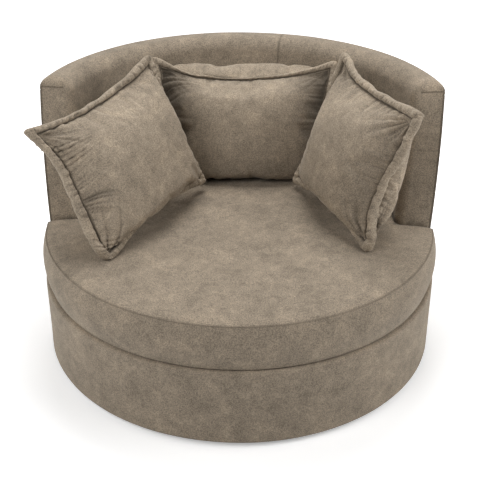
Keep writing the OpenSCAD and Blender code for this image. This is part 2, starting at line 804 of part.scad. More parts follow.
// A point of a pillow's skin, moved in by d; side is 1 in front of the seam and -1 behind it
function skin(s, x, y, side, d) = let (
    a = s[0] / 2, b = s[1] / 2, u = x / a, v = y / b, ex = a - abs(x), ey = b - abs(y),
    half = half_thick(ex, ey, a, b, side > 0 ? front_t : rear_t) - d,
    draw = s[2], out = side > 0 ? s[3] : s[4], low = u > 0 ? 1 - s[6] * v : 1,
    corner = flange_w * 0.32 * pow(abs(u * v), 16),
    pull_x = (u < 0 ? draw[0] : -draw[1] * low) * pow(abs(u), 3) * (1 - v * v) - sign(u) * corner,
    pull_y = (v < 0 ? draw[2] : -draw[3]) * pow(abs(v), 3) * (1 - u * u) - sign(v) * corner,
    out_x = (u < 0 ? -out[0] : out[1] * low) * swell(ex, d) * (1 - pow(v, 4)),
    out_y = (v < 0 ? -out[2] : out[3]) * swell(ey, d) * (1 - pow(u, 4)))
    [x + pull_x + out_x, y + pull_y + out_y, s[5] * u * v + side * half];

function skin_points(s, steps, d) = let (xs = stations(s[0] / 2, steps), ys = stations(s[1] / 2, steps))
    [for (side = [1, -1], x = xs, y = ys) skin(s, x, y, side, d)];

function turn_x(p, a) = [p.x, p.y * cos(a) - p.z * sin(a), p.y * sin(a) + p.z * cos(a)];
function turn_z(p, a) = [p.x * cos(a) - p.y * sin(a), p.x * sin(a) + p.y * cos(a), p.z];
// A pose is yaw about the vertical, lean back from upright, and roll in the pillow's own plane
function pose(points, angles) = [for (p = points)
    turn_z(turn_x(turn_z(p, angles[2]), 90 - angles[1]), angles[0])];
function moved(points, v) = [for (p = points) p + v];

// How far up a pillow has to move to stand on the seat
function lift(points) = pillow_gap - min([for (p = points) p.z - seat_top(norm([p.x, p.y]))]);
// How far a pillow can move in direction d before it meets the back's inside
function room(points, d) = min([for (p = points) let (r = norm([p.x, p.y]))
    if (p.y > arm_y(p.z) && p * d > r / 3) (back_in(p.z) - pillow_gap - r) / (p * d / r)]);
left_turn = [55.5, 28, 6.5];
right_turn = [-64, 18, -3];
centre_turn = [0, 25.5, 0];

// The centre pillow's middle, moved back until it leans on the wall and down until it stands
centre_posed = pose(skin_points(centre_pillow, flange_steps, 0), centre_turn);
centre_start = [0, seat_r / 2, 0];
centre_stood = centre_start + [0, 0, lift(moved(centre_posed, centre_start))];
centre_leant = centre_stood + [0, room(moved(centre_posed, centre_stood), [0, 1, 0]), 0];
centre_at = centre_leant + [0, 0, lift(moved(centre_posed, centre_leant))];

// A side pillow's middle, from the place of its rear edge
function stood_at(s, turn, rear, x, y) = let (
    edge = pose([[rear * s[0] / 2, 0, 0]], turn)[0], v = [x - edge.x, y - edge.y, 0])
    v + [0, 0, lift(moved(pose(skin_points(s, flange_steps, 0), turn), v))];
left_at = stood_at(left_pillow, left_turn, 1, left_in - back_in(seat_z), centre_at.y - left_front);
right_at = stood_at(right_pillow, right_turn, -1, back_in(seat_z) - right_in, centre_at.y - right_front);

// A closed skin over the grid of points, front and back
module pillow_skin_solid(s, steps, d, angles, at, share = 1) {
    points = moved(pose(skin_points(s, steps, d) * share, angles), at);
    n = 2 * len(steps) + 3;
    back = n * n;
    grid = [for (i = [0:n - 2], j = [0:n - 2]) let (p = i * n + j)
        each [[p, p + 1, p + n + 1], [p, p + n + 1, p + n]]];
    rim = concat([for (i = [0:n - 2]) i * n], [for (j = [0:n - 2]) (n - 1) * n + j],
        [for (i = [n - 1:-1:1]) i * n + n - 1], [for (j = [n - 1:-1:1]) j]);
    polyhedron(points, concat(grid, [for (f = grid) [f[2] + back, f[1] + back, f[0] + back]],
        [for (i = [0:len(rim) - 1]) let (p = rim[i], q = rim[(i + 1) % len(rim)])
            each [[p, q, q + back], [p, q + back, p + back]]]));
}

module pillow_cover(s, angles, at) {
    color(taupe) difference() {
        pillow_skin_solid(s, flange_steps, 0, angles, at);
        pillow_skin_solid(s, crown_steps, pillow_skin, angles, at);
    }
}

module pillow_insert(s, angles, at) {
    color(fibre) pillow_skin_solid(s, crown_steps, pillow_skin, angles, at, insert_share);
}

module left_pillow_cover() pillow_cover(left_pillow, left_turn, left_at);
module left_pillow_insert() pillow_insert(left_pillow, left_turn, left_at);
module centre_pillow_cover() pillow_cover(centre_pillow, centre_turn, centre_at);
module centre_pillow_insert() pillow_insert(centre_pillow, centre_turn, centre_at);
module right_pillow_cover() pillow_cover(right_pillow, right_turn, right_at);
module right_pillow_insert() pillow_insert(right_pillow, right_turn, right_at);

floor_glides();
base_ring();
base_rails();
base_crossbars();
lower_swivel_plate();
plate_screws();
swivel_rivet();
bearing_cage();
bearing_balls();
upper_swivel_plate();
swivel_bolts();
swivel_nuts();
bottom_board();
drum_posts_set();
deck_board();
spring_rails();
seat_springs();
spring_clips();
drum_band();
drum_foam();
drum_cover();
dust_cover();
deck_pad();
deck_cloth();
seat_foam();
seat_wadding();
seat_top_panel();
seat_boxing();
seat_bottom_panel();
back_bottom_rail();
back_top_rail();
arm_posts();
back_posts();
inner_back_board();
outer_back_board();
back_bolts();
inside_back_foam();
top_foam();
arm_end_pads();
inside_back_cover();
outside_back_cover();
left_pillow_cover();
left_pillow_insert();
centre_pillow_cover();
centre_pillow_insert();
right_pillow_cover();
right_pillow_insert();
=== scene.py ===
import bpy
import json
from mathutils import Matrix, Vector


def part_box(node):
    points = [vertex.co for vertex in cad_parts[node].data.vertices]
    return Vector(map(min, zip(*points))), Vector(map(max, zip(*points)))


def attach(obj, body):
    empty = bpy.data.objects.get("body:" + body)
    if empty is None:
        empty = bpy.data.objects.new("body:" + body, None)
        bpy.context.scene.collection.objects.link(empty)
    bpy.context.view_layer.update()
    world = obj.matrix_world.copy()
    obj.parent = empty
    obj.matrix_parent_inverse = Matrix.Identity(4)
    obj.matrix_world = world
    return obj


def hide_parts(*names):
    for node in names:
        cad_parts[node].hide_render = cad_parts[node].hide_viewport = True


bl_info = {
    "name": "Round swivel armchair",
    "version": (1, 0),
    "blender": (4, 5, 0),
    "location": "3D View > Sidebar > Armchair",
    "description": "Dresses the packed armchair: fabric, seams, pillows, finishes and a pale stage",
    "category": "Object",
}

import json
import math

import bmesh
import bpy
import numpy as np
from mathutils import Vector, noise

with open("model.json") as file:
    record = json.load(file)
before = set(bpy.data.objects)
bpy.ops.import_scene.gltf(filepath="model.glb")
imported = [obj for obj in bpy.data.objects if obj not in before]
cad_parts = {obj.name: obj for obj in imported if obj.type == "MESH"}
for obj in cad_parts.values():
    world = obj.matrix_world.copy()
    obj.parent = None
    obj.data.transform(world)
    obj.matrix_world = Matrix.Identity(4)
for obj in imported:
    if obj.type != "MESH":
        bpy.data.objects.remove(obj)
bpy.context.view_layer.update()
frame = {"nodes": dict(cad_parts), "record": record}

DRUM_LO, DRUM_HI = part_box("drum_cover")
BACK_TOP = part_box("inside_back_cover")[1].z


# Sizes and colours


class ArmchairSizes(bpy.types.PropertyGroup):
    """Sizes of the upholstery, in metres and radians."""

    drum_radius: bpy.props.FloatProperty(
        name="Drum radius", description="Outer radius of the drum", default=DRUM_HI.x, unit="LENGTH")
    hem_height: bpy.props.FloatProperty(
        name="Hem height", description="Height of the drum's hem", default=DRUM_LO.z, unit="LENGTH")
    deck_height: bpy.props.FloatProperty(
        name="Deck height", description="Top of the drum", default=DRUM_HI.z, unit="LENGTH")
    deck_roll: bpy.props.FloatProperty(
        name="Deck roll", description="Radius of the drum's top edge", default=0.009, unit="LENGTH")
    seat_inset: bpy.props.FloatProperty(
        name="Seat inset", description="Distance of the seat's seams inside the drum",
        default=0.010, unit="LENGTH")
    seam_height: bpy.props.FloatProperty(
        name="Seam height", description="Height of the seat's top seam",
        default=DRUM_HI.z + 0.144, unit="LENGTH")
    belly: bpy.props.FloatProperty(
        name="Belly", description="Swell of the seat's boxed side", default=0.012, unit="LENGTH")
    crown: bpy.props.FloatProperty(
        name="Crown", description="Rise of the seat's top to its middle", default=0.020, unit="LENGTH")
    back_inset: bpy.props.FloatProperty(
        name="Back inset", description="Distance of the back's foot inside the drum",
        default=0.034, unit="LENGTH")
    wall: bpy.props.FloatProperty(
        name="Wall", description="Thickness of the back at the deck", default=0.120, unit="LENGTH")
    flare: bpy.props.FloatProperty(
        name="Flare", description="Slope of the back's outside", default=math.radians(5.66), unit="ROTATION")
    rake: bpy.props.FloatProperty(
        name="Rake", description="Slope of the back's inside", default=math.radians(8.2), unit="ROTATION")
    back_top: bpy.props.FloatProperty(
        name="Back top", description="Height of the back", default=BACK_TOP, unit="LENGTH")
    arm_front: bpy.props.FloatProperty(
        name="Arm front", description="Reach of the arms' ends in front of the middle, at the seam",
        default=0.036, unit="LENGTH")
    arm_lean: bpy.props.FloatProperty(
        name="Arm lean", description="Slope of the arms' ends", default=math.radians(21.4), unit="ROTATION")
    top_outer_round: bpy.props.FloatProperty(
        name="Outer top rounding", description="Rounding of the outer top edge", default=0.025, unit="LENGTH")
    top_inner_round: bpy.props.FloatProperty(
        name="Inner top rounding", description="Rounding of the inner top edge", default=0.050, unit="LENGTH")
    end_top_round: bpy.props.FloatProperty(
        name="End top rounding", description="Rounding at the top of the arms' ends",
        default=0.040, unit="LENGTH")
    end_inner_round: bpy.props.FloatProperty(
        name="End inner rounding", description="Rounding of the arms' inner corners",
        default=0.030, unit="LENGTH")
    end_outer_round: bpy.props.FloatProperty(
        name="End outer rounding", description="Rounding of the arms' sewn outer edges",
        default=0.004, unit="LENGTH")
    end_dip: bpy.props.FloatProperty(
        name="End dip", description="How much tighter the ends are rounded between top and inside",
        default=0.014, unit="LENGTH")
    dart_start: bpy.props.FloatProperty(
        name="Dart start", description="Distance from the middle at which an arm's dart starts",
        default=0.555, unit="LENGTH")
    padding: bpy.props.FloatProperty(
        name="Padding", description="Lift of the back's cover above its foam", default=0.001, unit="LENGTH")
    flange: bpy.props.FloatProperty(
        name="Flange", description="Width of a pillow's stuffed flange", default=0.029, unit="LENGTH")
    flange_thickness: bpy.props.FloatProperty(
        name="Flange thickness", description="Thickness of a pillow's flange", default=0.029, unit="LENGTH")
    pillow_thickness: bpy.props.FloatProperty(
        name="Pillow thickness", description="Greatest thickness of a pillow", default=0.180, unit="LENGTH")


class ArmchairColours(bpy.types.PropertyGroup):
    """Colours of the finishes."""

    fabric_light: bpy.props.FloatVectorProperty(
        name="Fabric, light", description="Light patches of the brushed fabric", subtype="COLOR",
        size=3, default=(0.370, 0.300, 0.222), min=0, max=1)
    fabric_mid: bpy.props.FloatVectorProperty(
        name="Fabric, middle", description="Main colour of the brushed fabric", subtype="COLOR",
        size=3, default=(0.300, 0.246, 0.185), min=0, max=1)
    fabric_dark: bpy.props.FloatVectorProperty(
        name="Fabric, dark", description="Dark patches of the brushed fabric", subtype="COLOR",
        size=3, default=(0.235, 0.193, 0.145), min=0, max=1)
    stage: bpy.props.FloatVectorProperty(
        name="Stage", description="Colour of the floor", subtype="COLOR",
        size=3, default=(0.93, 0.93, 0.93), min=0, max=1)


def sizes():
    return bpy.context.scene.armchair_sizes


def colours():
    return bpy.context.scene.armchair_colours


# Shape of the chair: walls, arms' ends and seat


def back_outer(z):
    s = sizes()
    return s.drum_radius - s.back_inset + (z - s.deck_height) * math.tan(s.flare)


def back_inner(z):
    s = sizes()
    return s.drum_radius - s.back_inset - s.wall + (z - s.deck_height) * math.tan(s.rake)


def arm_front_y(z):
    s = sizes()
    return -s.arm_front + (z - s.seam_height) * math.tan(s.arm_lean)


def seat_surface(r):
    s = sizes()
    share = min(r / (s.drum_radius - s.seat_inset), 1.0)
    return s.seam_height + s.crown * (1 - share ** 3) ** 0.6


def at_each(shape, values):
    return np.array([shape(value) for value in values])


def spread(start, end, count):
    """count values from start to end, both included."""
    return [start + (end - start) * i / (count - 1) for i in range(count)]


def arc(cx, cy, radius, start, end, count):
    """Points of an arc from one angle to another, in degrees."""
    return [(cx + radius * math.cos(math.radians(a)), cy + radius * math.sin(math.radians(a)))
            for a in spread(start, end, count)]


def smooth_step(x):
    x = np.clip(x, 0, 1)
    return x * x * (3 - 2 * x)


def bell(x, width):
    return np.exp(-(x / width) ** 2)


def soft_noise(points, size, offset=0.0):
    """Smooth noise at every point, about -1 to 1, with features of the given size in metres."""
    shift = Vector((offset, offset * 0.7, offset * 1.3))
    return np.array([noise.noise(Vector(p) / size + shift) for p in points])


# Work on meshes

WELD = 0.00002


def start_clean():
    if bpy.context.object and bpy.context.object.mode != "OBJECT":
        bpy.ops.object.mode_set(mode="OBJECT")
    bpy.ops.object.select_all(action="DESELECT")


def only(piece):
    """Selects one object and makes it active."""
    start_clean()
    piece.select_set(True)
    bpy.context.view_layer.objects.active = piece


def loft(name, loops):
    """Skins a row of loops of equally many points by extruding a ring of edges from each to the next."""
    start_clean()
    bpy.ops.mesh.primitive_circle_add(vertices=len(loops[0]), radius=1.0)
    piece = bpy.context.object
    piece.name = piece.data.name = name
    bpy.ops.object.mode_set(mode="EDIT")
    bm = bmesh.from_edit_mesh(piece.data)
    order = bm.verts.layers.int.new("order")
    bm.verts.ensure_lookup_table()
    for i, vertex in enumerate(bm.verts):
        vertex[order] = i
        vertex.co = loops[0][i]
    bmesh.update_edit_mesh(piece.data)
    for loop in loops[1:]:
        bpy.ops.mesh.extrude_edges_indiv()
        bm = bmesh.from_edit_mesh(piece.data)
        order = bm.verts.layers.int["order"]
        for vertex in bm.verts:
            if vertex.select:
                vertex.co = loop[vertex[order]]
        bmesh.update_edit_mesh(piece.data)
    bpy.ops.mesh.select_all(action="SELECT")
    bpy.ops.object.mode_set(mode="OBJECT")
    piece.data.attributes.remove(piece.data.attributes["order"])
    close_ends(piece)
    return piece


def close_ends(piece):
    """Fills what is open, then turns all faces outwards."""
    only(piece)
    bpy.ops.object.mode_set(mode="EDIT")
    bpy.ops.mesh.select_all(action="SELECT")
    bpy.ops.mesh.remove_doubles(threshold=WELD)
    bpy.ops.mesh.select_all(action="DESELECT")
    bpy.ops.mesh.select_mode(type="EDGE")
    bpy.ops.mesh.select_non_manifold(extend=False, use_wire=False, use_multi_face=False,
                                     use_non_contiguous=False, use_verts=False)
    bpy.ops.mesh.edge_face_add()
    bpy.ops.mesh.select_mode(type="VERT")
    bpy.ops.mesh.select_all(action="SELECT")
    bpy.ops.mesh.normals_make_consistent(inside=False)
    bpy.ops.object.mode_set(mode="OBJECT")
    bpy.ops.object.shade_smooth()


def numbers(data, key, width, kind=float):
    """The numbers that Blender keeps for each item of some data, one row for each."""
    values = np.zeros(len(data) * width, kind)
    data.foreach_get(key, values)
    return values.reshape(-1, width)


def point_array(piece):
    return numbers(piece.data.vertices, "co", 3)


def normal_array(piece):
    return numbers(piece.data.vertex_normals, "vector", 3)


def put_points(piece, points):
    piece.data.vertices.foreach_set("co", np.asarray(points, float).ravel())
    piece.data.update()


def keep(piece, name, values):
    """Keeps one number for each point of a piece, which a subdivision carries over to its new points."""
    layer = piece.data.attributes.get(name) or piece.data.attributes.new(name, "FLOAT", "POINT")
    layer.data.foreach_set("value", np.asarray(values, float))


def take(piece, name):
    """Takes back the numbers that were kept."""
    layer = piece.data.attributes[name]
    values = numbers(layer.data, "value", 1)[:, 0]
    piece.data.attributes.remove(layer)
    return values


def mark(piece, name, *values):
    """Keeps the greatest of some numbers from 0 to 1 for each point of a piece, for its material."""
    keep(piece, name, np.clip(np.maximum.reduce(values), 0, 1))


def uneven(piece, amount, size, offset):
    """Moves a padded surface in and out a little, as foam under fabric does."""
    points = point_array(piece)
    lift = soft_noise(points, size, offset)[:, None] * amount
    put_points(piece, points + normal_array(piece) * lift)


def wear(piece):
    """Marks where the nap is rubbed: on edges that stand out."""
    points, normals = point_array(piece), normal_array(piece)
    a, b = numbers(piece.data.edges, "vertices", 2, np.int32).T
    step = points[b] - points[a]
    length = np.maximum(np.linalg.norm(step, axis=1), 1e-6)
    bend = np.einsum("ij,ij->i", normals[b] - normals[a], step) / length ** 2
    total, seen = np.zeros(len(points)), np.zeros(len(points))
    for end in (a, b):
        np.add.at(total, end, bend)
        np.add.at(seen, end, 1)
    flat, sharp = 25, 145
    mark(piece, "rub", smooth_step((total / np.maximum(seen, 1) - flat) / (sharp - flat)))


def dress(piece, body, nodes):
    """Gives a fabric piece its wear, finish, body and slot, and hides the packed parts that it takes the place of.
    """
    wear(piece)
    piece.data.materials.clear()
    piece.data.materials.append(fabric())
    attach(piece, body)
    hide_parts(*nodes)


# Upholstery of the drum, the seat and the back
#
# HEM_UNDER, TOP_OVER: how far the drum's cover is turned under the hem and over the top edge
# SEAM_STEPS: how far out and up the loops of the seat's sunk top seam lie
# RIM_SHARES, CROWN_SHARES: how far the loops of the seat's top lie from that seam to its middle
# END_SHARES: how far the loops of an arm's end face lie from its middle to its edge, with the welt at one of them

CLOTH = 0.0018
HEM_ROUND, HEM_UNDER, TOP_OVER = 0.013, 0.026, 0.032
SEAT_GAP = 0.001
SEAT_FOOT_ROUND = 0.010
SEAT_CORNER = 0.005
SEAT_REACH = 0.6
SEAT_MIDDLE = (0.0, -0.055)
SEAM_STEPS = ((-0.0002, -0.0022), (-0.0020, -0.0008), (-0.0026, 0.0002), (-0.0018, 0.0014))
RIM_SHARES = [0.004, 0.008, 0.014, 0.022, 0.032, 0.044, 0.058]
CROWN_SHARES = spread(0.075, 0.985, 62)
TUCK = 0.008
END_SHARES = (0, 0.22, 0.42, 0.60, 0.74, 0.84, 0.885, 0.905, 0.925, 0.96, 1.0)
WELT, WELT_DEPTH = 0.905, 0.0020
PANEL_GROOVE = 0.0013
DART_DROP, DART_SLOPE, DART_END = 0.027, 0.04, 0.16
JOIN_TURN = math.radians(78)


class ARMCHAIR_OT_drum(bpy.types.Operator):
    """Covers the drum: turned-under hem, padded side, and rolled top edge"""

    bl_idname = "armchair.drum"
    bl_label = "Drum upholstery"

    def execute(self, context):
        s = sizes()
        radius, hem, deck, roll = s.drum_radius, s.hem_height, s.deck_height, s.deck_roll
        side = [(radius - 0.0004 * math.sin(math.pi * t), z)
                for t, z in zip(spread(0, 1, 15), spread(hem + 0.020, deck - 0.012, 15))]
        profile = (
            [(radius - 0.018, hem + CLOTH), (radius - HEM_UNDER, hem + CLOTH), (radius - HEM_UNDER, hem),
             (radius - 0.019, hem)]
            + arc(radius - HEM_ROUND, hem + HEM_ROUND, HEM_ROUND, -85, -3, 8) + side
            + arc(radius - roll, deck - roll, roll, 4, 90, 7)
            + [(radius - 0.020, deck), (radius - TOP_OVER, deck), (radius - TOP_OVER, deck - CLOTH),
               (radius - 0.020, deck - CLOTH)]
            + [(r - CLOTH, z) for r, z in side[::-2]])
        count = 220
        angles = [2 * math.pi * i / count for i in range(count)]
        drum = loft("drum_upholstery", [[(r * math.cos(a), r * math.sin(a), z) for a in angles]
                                        for r, z in profile + profile[:1]])
        uneven(drum, amount=0.0007, size=0.11, offset=3.1)
        # Painted shade: the cover is darkened towards its hem, standing in for the shade under the drum's foot.
        low = 1 - smooth_step((point_array(drum)[:, 2] - hem) / 0.012)
        mark(drum, "crease", 0.55 * low)
        dress(drum, "chair", ["drum_cover"])
        return {"FINISHED"}


def seat_outline(z, gap, swell):
    """Outline of the seat cushion at a height, a gap inside what holds it, from the front round the right."""
    s = sizes()
    radius = s.drum_radius - s.seat_inset + swell
    line_y = arm_front_y(z) - gap
    centre_y = line_y - SEAT_CORNER
    centre_x = math.sqrt((radius - SEAT_CORNER) ** 2 - centre_y ** 2)
    tangent = math.degrees(math.atan2(centre_y, centre_x))
    deep, wide = s.end_inner_round / math.cos(s.arm_lean), s.end_inner_round / math.cos(s.rake)
    inner = back_inner(z)
    arm_y = arm_front_y(z) + deep
    arm_x = math.sqrt((inner + wide) ** 2 - arm_y ** 2)
    toward = math.degrees(math.atan2(arm_y, arm_x))
    half = arc(0, 0, radius, -90, tangent, 96)
    half += arc(centre_x, centre_y, SEAT_CORNER, tangent, 90, 8)[1:]
    half += [(x, line_y) for x in spread(centre_x, arm_x, 10)[1:-1]]
    half += [(arm_x + (wide + gap) * math.cos(math.radians(a)),
              arm_y + (deep + gap) * math.sin(math.radians(a))) for a in spread(-90, toward - 180, 14)]
    half += arc(0, 0, inner - gap, toward, 90, 66)[1:]
    return half + [(-x, y) for x, y in half[-2:0:-1]]


class ARMCHAIR_OT_seat(bpy.types.Operator):
    """Makes the boxed seat cushion: crowned top, boxing with a belly, seams, and ears in front of the arms"""

    bl_idname = "armchair.seat"
    bl_label = "Seat cushion"

    def execute(self, context):
        s = sizes()
        bottom, top, edge = s.deck_height, s.seam_height, s.drum_radius - s.seat_inset
        foot = seat_outline(bottom, SEAT_GAP, 0)
        loops = [[(x * share, y * share, bottom + 0.0002) for x, y in foot] for share in (0.90, 0.96, 0.985)]
        for angle in spread(-90, -12, 6):
            z = bottom + SEAT_FOOT_ROUND + SEAT_FOOT_ROUND * math.sin(math.radians(angle))
            inset = SEAT_FOOT_ROUND * (1 - math.cos(math.radians(angle)))
            loops.append([(x, y, z) for x, y in seat_outline(z, SEAT_GAP + inset * 0.4, -inset)])
        for t in spread(0, 1, 15):
            z = bottom + SEAT_FOOT_ROUND + (top - 0.0035 - bottom - SEAT_FOOT_ROUND) * t
            swell = s.belly * (1 - (2 * t - 1) ** 2)
            loops.append([(x, y, z) for x, y in seat_outline(z, SEAT_GAP, swell)])
        rim = seat_outline(top, SEAT_GAP, 0)
        for out, up in SEAM_STEPS:
            grow = 1 + out / SEAT_REACH
            loops.append([(x * grow, y * grow, top + up) for x, y in rim])
        rim, middle = np.array(rim), np.array(SEAT_MIDDLE)
        under_wall = np.where(np.hypot(rim[:, 0], rim[:, 1]) < edge - 0.015, TUCK, 0.0)
        for share in RIM_SHARES + CROWN_SHARES:
            loop = middle + (rim - middle) * (1 - np.maximum(0, share - under_wall)[:, None])
            round_off = 0.004 * max(0.0, 1 - share * SEAT_REACH / 0.020) ** 2
            loops.append([(x, y, seat_surface(min(math.hypot(x, y), edge)) + 0.0012 - round_off)
                          for x, y in loop])
        seat = loft("seat_cushion", loops)
        self.soften(seat, top, edge)
        self.seams(seat, bottom, top)
        dress(seat, "chair", ["seat_top_panel", "seat_boxing", "seat_bottom_panel"])
        return {"FINISHED"}

    def soften(self, seat, top, edge):
        """Lets the top lie in slow waves and the boxed side swell unevenly."""
        points = point_array(seat)
        ring = np.hypot(points[:, 0], points[:, 1])
        on_top = smooth_step((points[:, 2] - top) / 0.006)
        waves = soft_noise(points, 0.16, 7.7) * 0.0016 + soft_noise(points, 0.05, 1.9) * 0.0005
        points[:, 2] += waves * on_top
        side = (1 - on_top) * (ring > edge * 0.97)
        bulge = soft_noise(points, 0.09, 4.4) * 0.0008
        points[:, :2] *= (1 + side * bulge / SEAT_REACH)[:, None]
        put_points(seat, points)

    def seams(self, seat, bottom, top):
        """Paints shade along the top seam, at the foot and where the edge is tucked in at the arms and the wall."""
        x, y, z = point_array(seat).T
        ring = np.hypot(x, y)
        seam = bell(z - top, 0.0012) * (ring > 0.94 * ring.max())
        low = 1 - smooth_step((z - bottom) / 0.006)
        to_arm = at_each(arm_front_y, z) - y
        to_wall = at_each(back_inner, z) - ring
        clear = np.where(to_wall < 0, to_arm, np.where(to_arm < 0, to_wall, np.hypot(to_wall, to_arm)))
        # Painted shade in the seam, at the foot and in the gap by the arms and the wall.
        mark(seat, "crease", 0.55 * seam, 0.85 * low, 0.8 * smooth_step(1 - clear / 0.009))


def panel_seam():
    """Height of the seam along the top of the outside back."""
    s = sizes()
    return s.back_top - s.top_outer_round - 0.009


def back_profile():
    """Closed profile of the wall: rows of radius, height, the two parts of the normal, and end rounding."""
    s = sizes()
    top, foot, seam = s.back_top, s.deck_height - 0.016, panel_seam()
    outer, inner = s.top_outer_round, s.top_inner_round
    rows = []

    def add(r, z, nr, nz, rounding):
        rows.append((r + nr * s.padding, z + nz * s.padding, nr, nz, rounding))

    z_outer, z_inner = top - outer, top - inner
    by_seam = [seam - 0.002, seam - 0.0008, seam + 0.0008, seam + 0.002, seam + 0.005]
    for z in spread(foot, seam - 0.006, 34) + by_seam + [z_outer]:
        groove = PANEL_GROOVE if abs(z - seam) < 0.001 else 0.0
        add(back_outer(z) - groove, z, math.cos(s.flare), -math.sin(s.flare), s.end_outer_round)
    outer_c = back_outer(z_outer) - outer
    wider = s.end_top_round - s.end_outer_round
    for a in spread(8, 90, 9):
        across, up = math.cos(math.radians(a)), math.sin(math.radians(a))
        add(outer_c + outer * across, z_outer + outer * up, across, up,
            s.end_outer_round + wider * (a / 90) ** 2)
    inner_c = back_inner(z_inner) + inner
    for r in spread(outer_c, inner_c, 5)[1:-1]:
        add(r, top, 0, 1, s.end_top_round)
    for a in spread(90, 172, 14):
        across, up = math.cos(math.radians(a)), math.sin(math.radians(a))
        share = (a - 90) / 90
        add(inner_c + inner * across, z_inner + inner * up, across, up,
            s.end_top_round + (s.end_inner_round - s.end_top_round) * share
            - s.end_dip * math.sin(math.pi * share))
    for z in spread(z_inner - 0.004, foot, 40):
        add(back_inner(z), z, -math.cos(s.rake), -math.sin(s.rake), s.end_inner_round)
    return rows


def within(value):
    return max(-1.0, min(1.0, value))


def end_rim(rows, share):
    """The profile at a share of the way round its edge, from the right arm's end face to its wall."""
    s = sizes()
    rim = []
    for r, z, nr, nz, rounding in rows:
        across = math.asin(within(arm_front_y(z) / r))
        facing = -nr * math.sin(across) * math.cos(s.arm_lean) + nz * math.sin(s.arm_lean)
        bend = math.acos(within(facing))
        inward = rounding * (1 - math.cos(bend * (1 - share)))
        forward = rounding * (1 - math.cos(bend * share)) - s.padding
        r, z = r - nr * inward, z - nz * inward
        y = arm_front_y(z) + forward / math.cos(s.arm_lean)
        rim.append((r, z, math.asin(within(y / r))))
    return rim


def on_axis(rim):
    return [(r * math.cos(a), r * math.sin(a), z) for r, z, a in rim]


def sew(piece, place, normal, wanted, width=0.0016, depth=0.0016):
    """Sinks a stitched seam where a plane crosses the wanted part of a surface."""
    only(piece)
    place, normal = Vector(place), Vector(normal).normalized()
    for offset in (-width, width, 0.0):
        bpy.ops.object.mode_set(mode="EDIT")
        bpy.ops.mesh.select_mode(type="FACE")
        bpy.ops.mesh.select_all(action="DESELECT")
        bm = bmesh.from_edit_mesh(piece.data)
        for face in bm.faces:
            if wanted(face.calc_center_median()):
                face.select_set(True)
        bmesh.update_edit_mesh(piece.data)
        bpy.ops.mesh.bisect(plane_co=place + normal * offset, plane_no=normal, threshold=WELD)
        bpy.ops.object.mode_set(mode="OBJECT")
    points, normals = point_array(piece), normal_array(piece)
    distance = (points - np.array(place)) @ np.array(normal)
    near = np.array([wanted(Vector(p)) for p in points]) & (abs(distance) < 0.00005)
    points[near] -= normals[near] * depth
    put_points(piece, points)


class ARMCHAIR_OT_back(bpy.types.Operator):
    """Makes the upholstered wall that wraps round the seat, with its leaning ends, darts and panel seams"""

    bl_idname = "armchair.back"
    bl_label = "Back upholstery"

    def execute(self, context):
        s = sizes()
        rows = back_profile()
        rims = [end_rim(rows, share) for share in spread(0, 1, 10)]
        face = [np.array(p) for p in on_axis(rims[0])]
        lean = np.array((0, -math.cos(s.arm_lean), math.sin(s.arm_lean)))
        edged = len([row for row in rows if row[2] > 0.05])
        loops = []
        for share in END_SHARES:
            sunk = [WELT_DEPTH if share == WELT and i < edged else 0.0 for i in range(len(rows))]
            loops.append([tuple((p + q) / 2 + (p - q) / 2 * share - lean * down)
                          for p, q, down in zip(face, face[::-1], sunk)])
        loops += [on_axis(rim) for rim in rims[1:]]
        mirrored = [[(-x, y, z) for x, y, z in loop] for loop in loops[::-1]]
        for share in spread(0, 1, 121)[1:-1]:
            loops.append(on_axis([(r, z, a + (math.pi - 2 * a) * share) for r, z, a in rims[-1]]))
        back = loft("back_upholstery", loops + mirrored)
        uneven(back, amount=0.0008, size=0.14, offset=9.2)
        dart_z = s.back_top - DART_DROP
        self.sew_seams(back, s, dart_z)
        self.mark_seams(back, s, dart_z)
        dress(back, "chair", ["inside_back_cover", "outside_back_cover", "arm_end_pads"])
        return {"FINISHED"}

    def sew_seams(self, back, s, dart_z):
        """Sews the dart of each arm and the join of the inside back."""
        for side in (-1, 1):
            sew(back, (side * s.dart_start, 0, dart_z), (-DART_SLOPE * side, 0, 1),
                lambda p: side * p.x > s.dart_start and p.y < DART_END and abs(p.z - dart_z) < 0.05)
        sew(back, (0, 0, 0), (math.sin(JOIN_TURN), -math.cos(JOIN_TURN), 0),
            lambda p: (p.y > 0.3 and p.z > s.seam_height - 0.05
                       and math.hypot(p.x, p.y) < back_outer(p.z) - 0.03),
            width=0.0014, depth=0.0012)

    def mark_seams(self, back, s, dart_z):
        """Paints shade along the ends' edges, the darts, the join, the panel's seam, the foot and the line by the
        seat.
        """
        from_left, y, z = point_array(back).T
        x, r = abs(from_left), np.hypot(from_left, y)
        outer = at_each(back_outer, z)
        on_end = smooth_step((0.010 - (y - at_each(arm_front_y, z))) / 0.004)
        edge = smooth_step((r - (outer - 0.007)) / 0.002) * on_end
        dart = bell(z - dart_z - DART_SLOPE * (x - s.dart_start), 0.0022)
        dart *= (x > s.dart_start) & (y < DART_END)
        across = abs(from_left * math.sin(JOIN_TURN) - y * math.cos(JOIN_TURN))
        join = bell(across, 0.0020) * ((y > 0.3) & (r < outer - 0.03))
        panel = bell(z - panel_seam(), 0.0016) * (r > outer - 0.01)
        low = 1 - smooth_step((z - s.deck_height) / 0.006)
        by_seat = 1 - smooth_step((z - at_each(seat_surface, r)) / 0.012)
        by_seat *= r < outer - 0.012
        # Painted shade in the seams and grooves, at the foot and along the gap by the seat.
        mark(back, "crease", 0.75 * edge, 0.7 * dart, 0.55 * join, 0.6 * panel, 0.5 * low, 0.75 * by_seat)
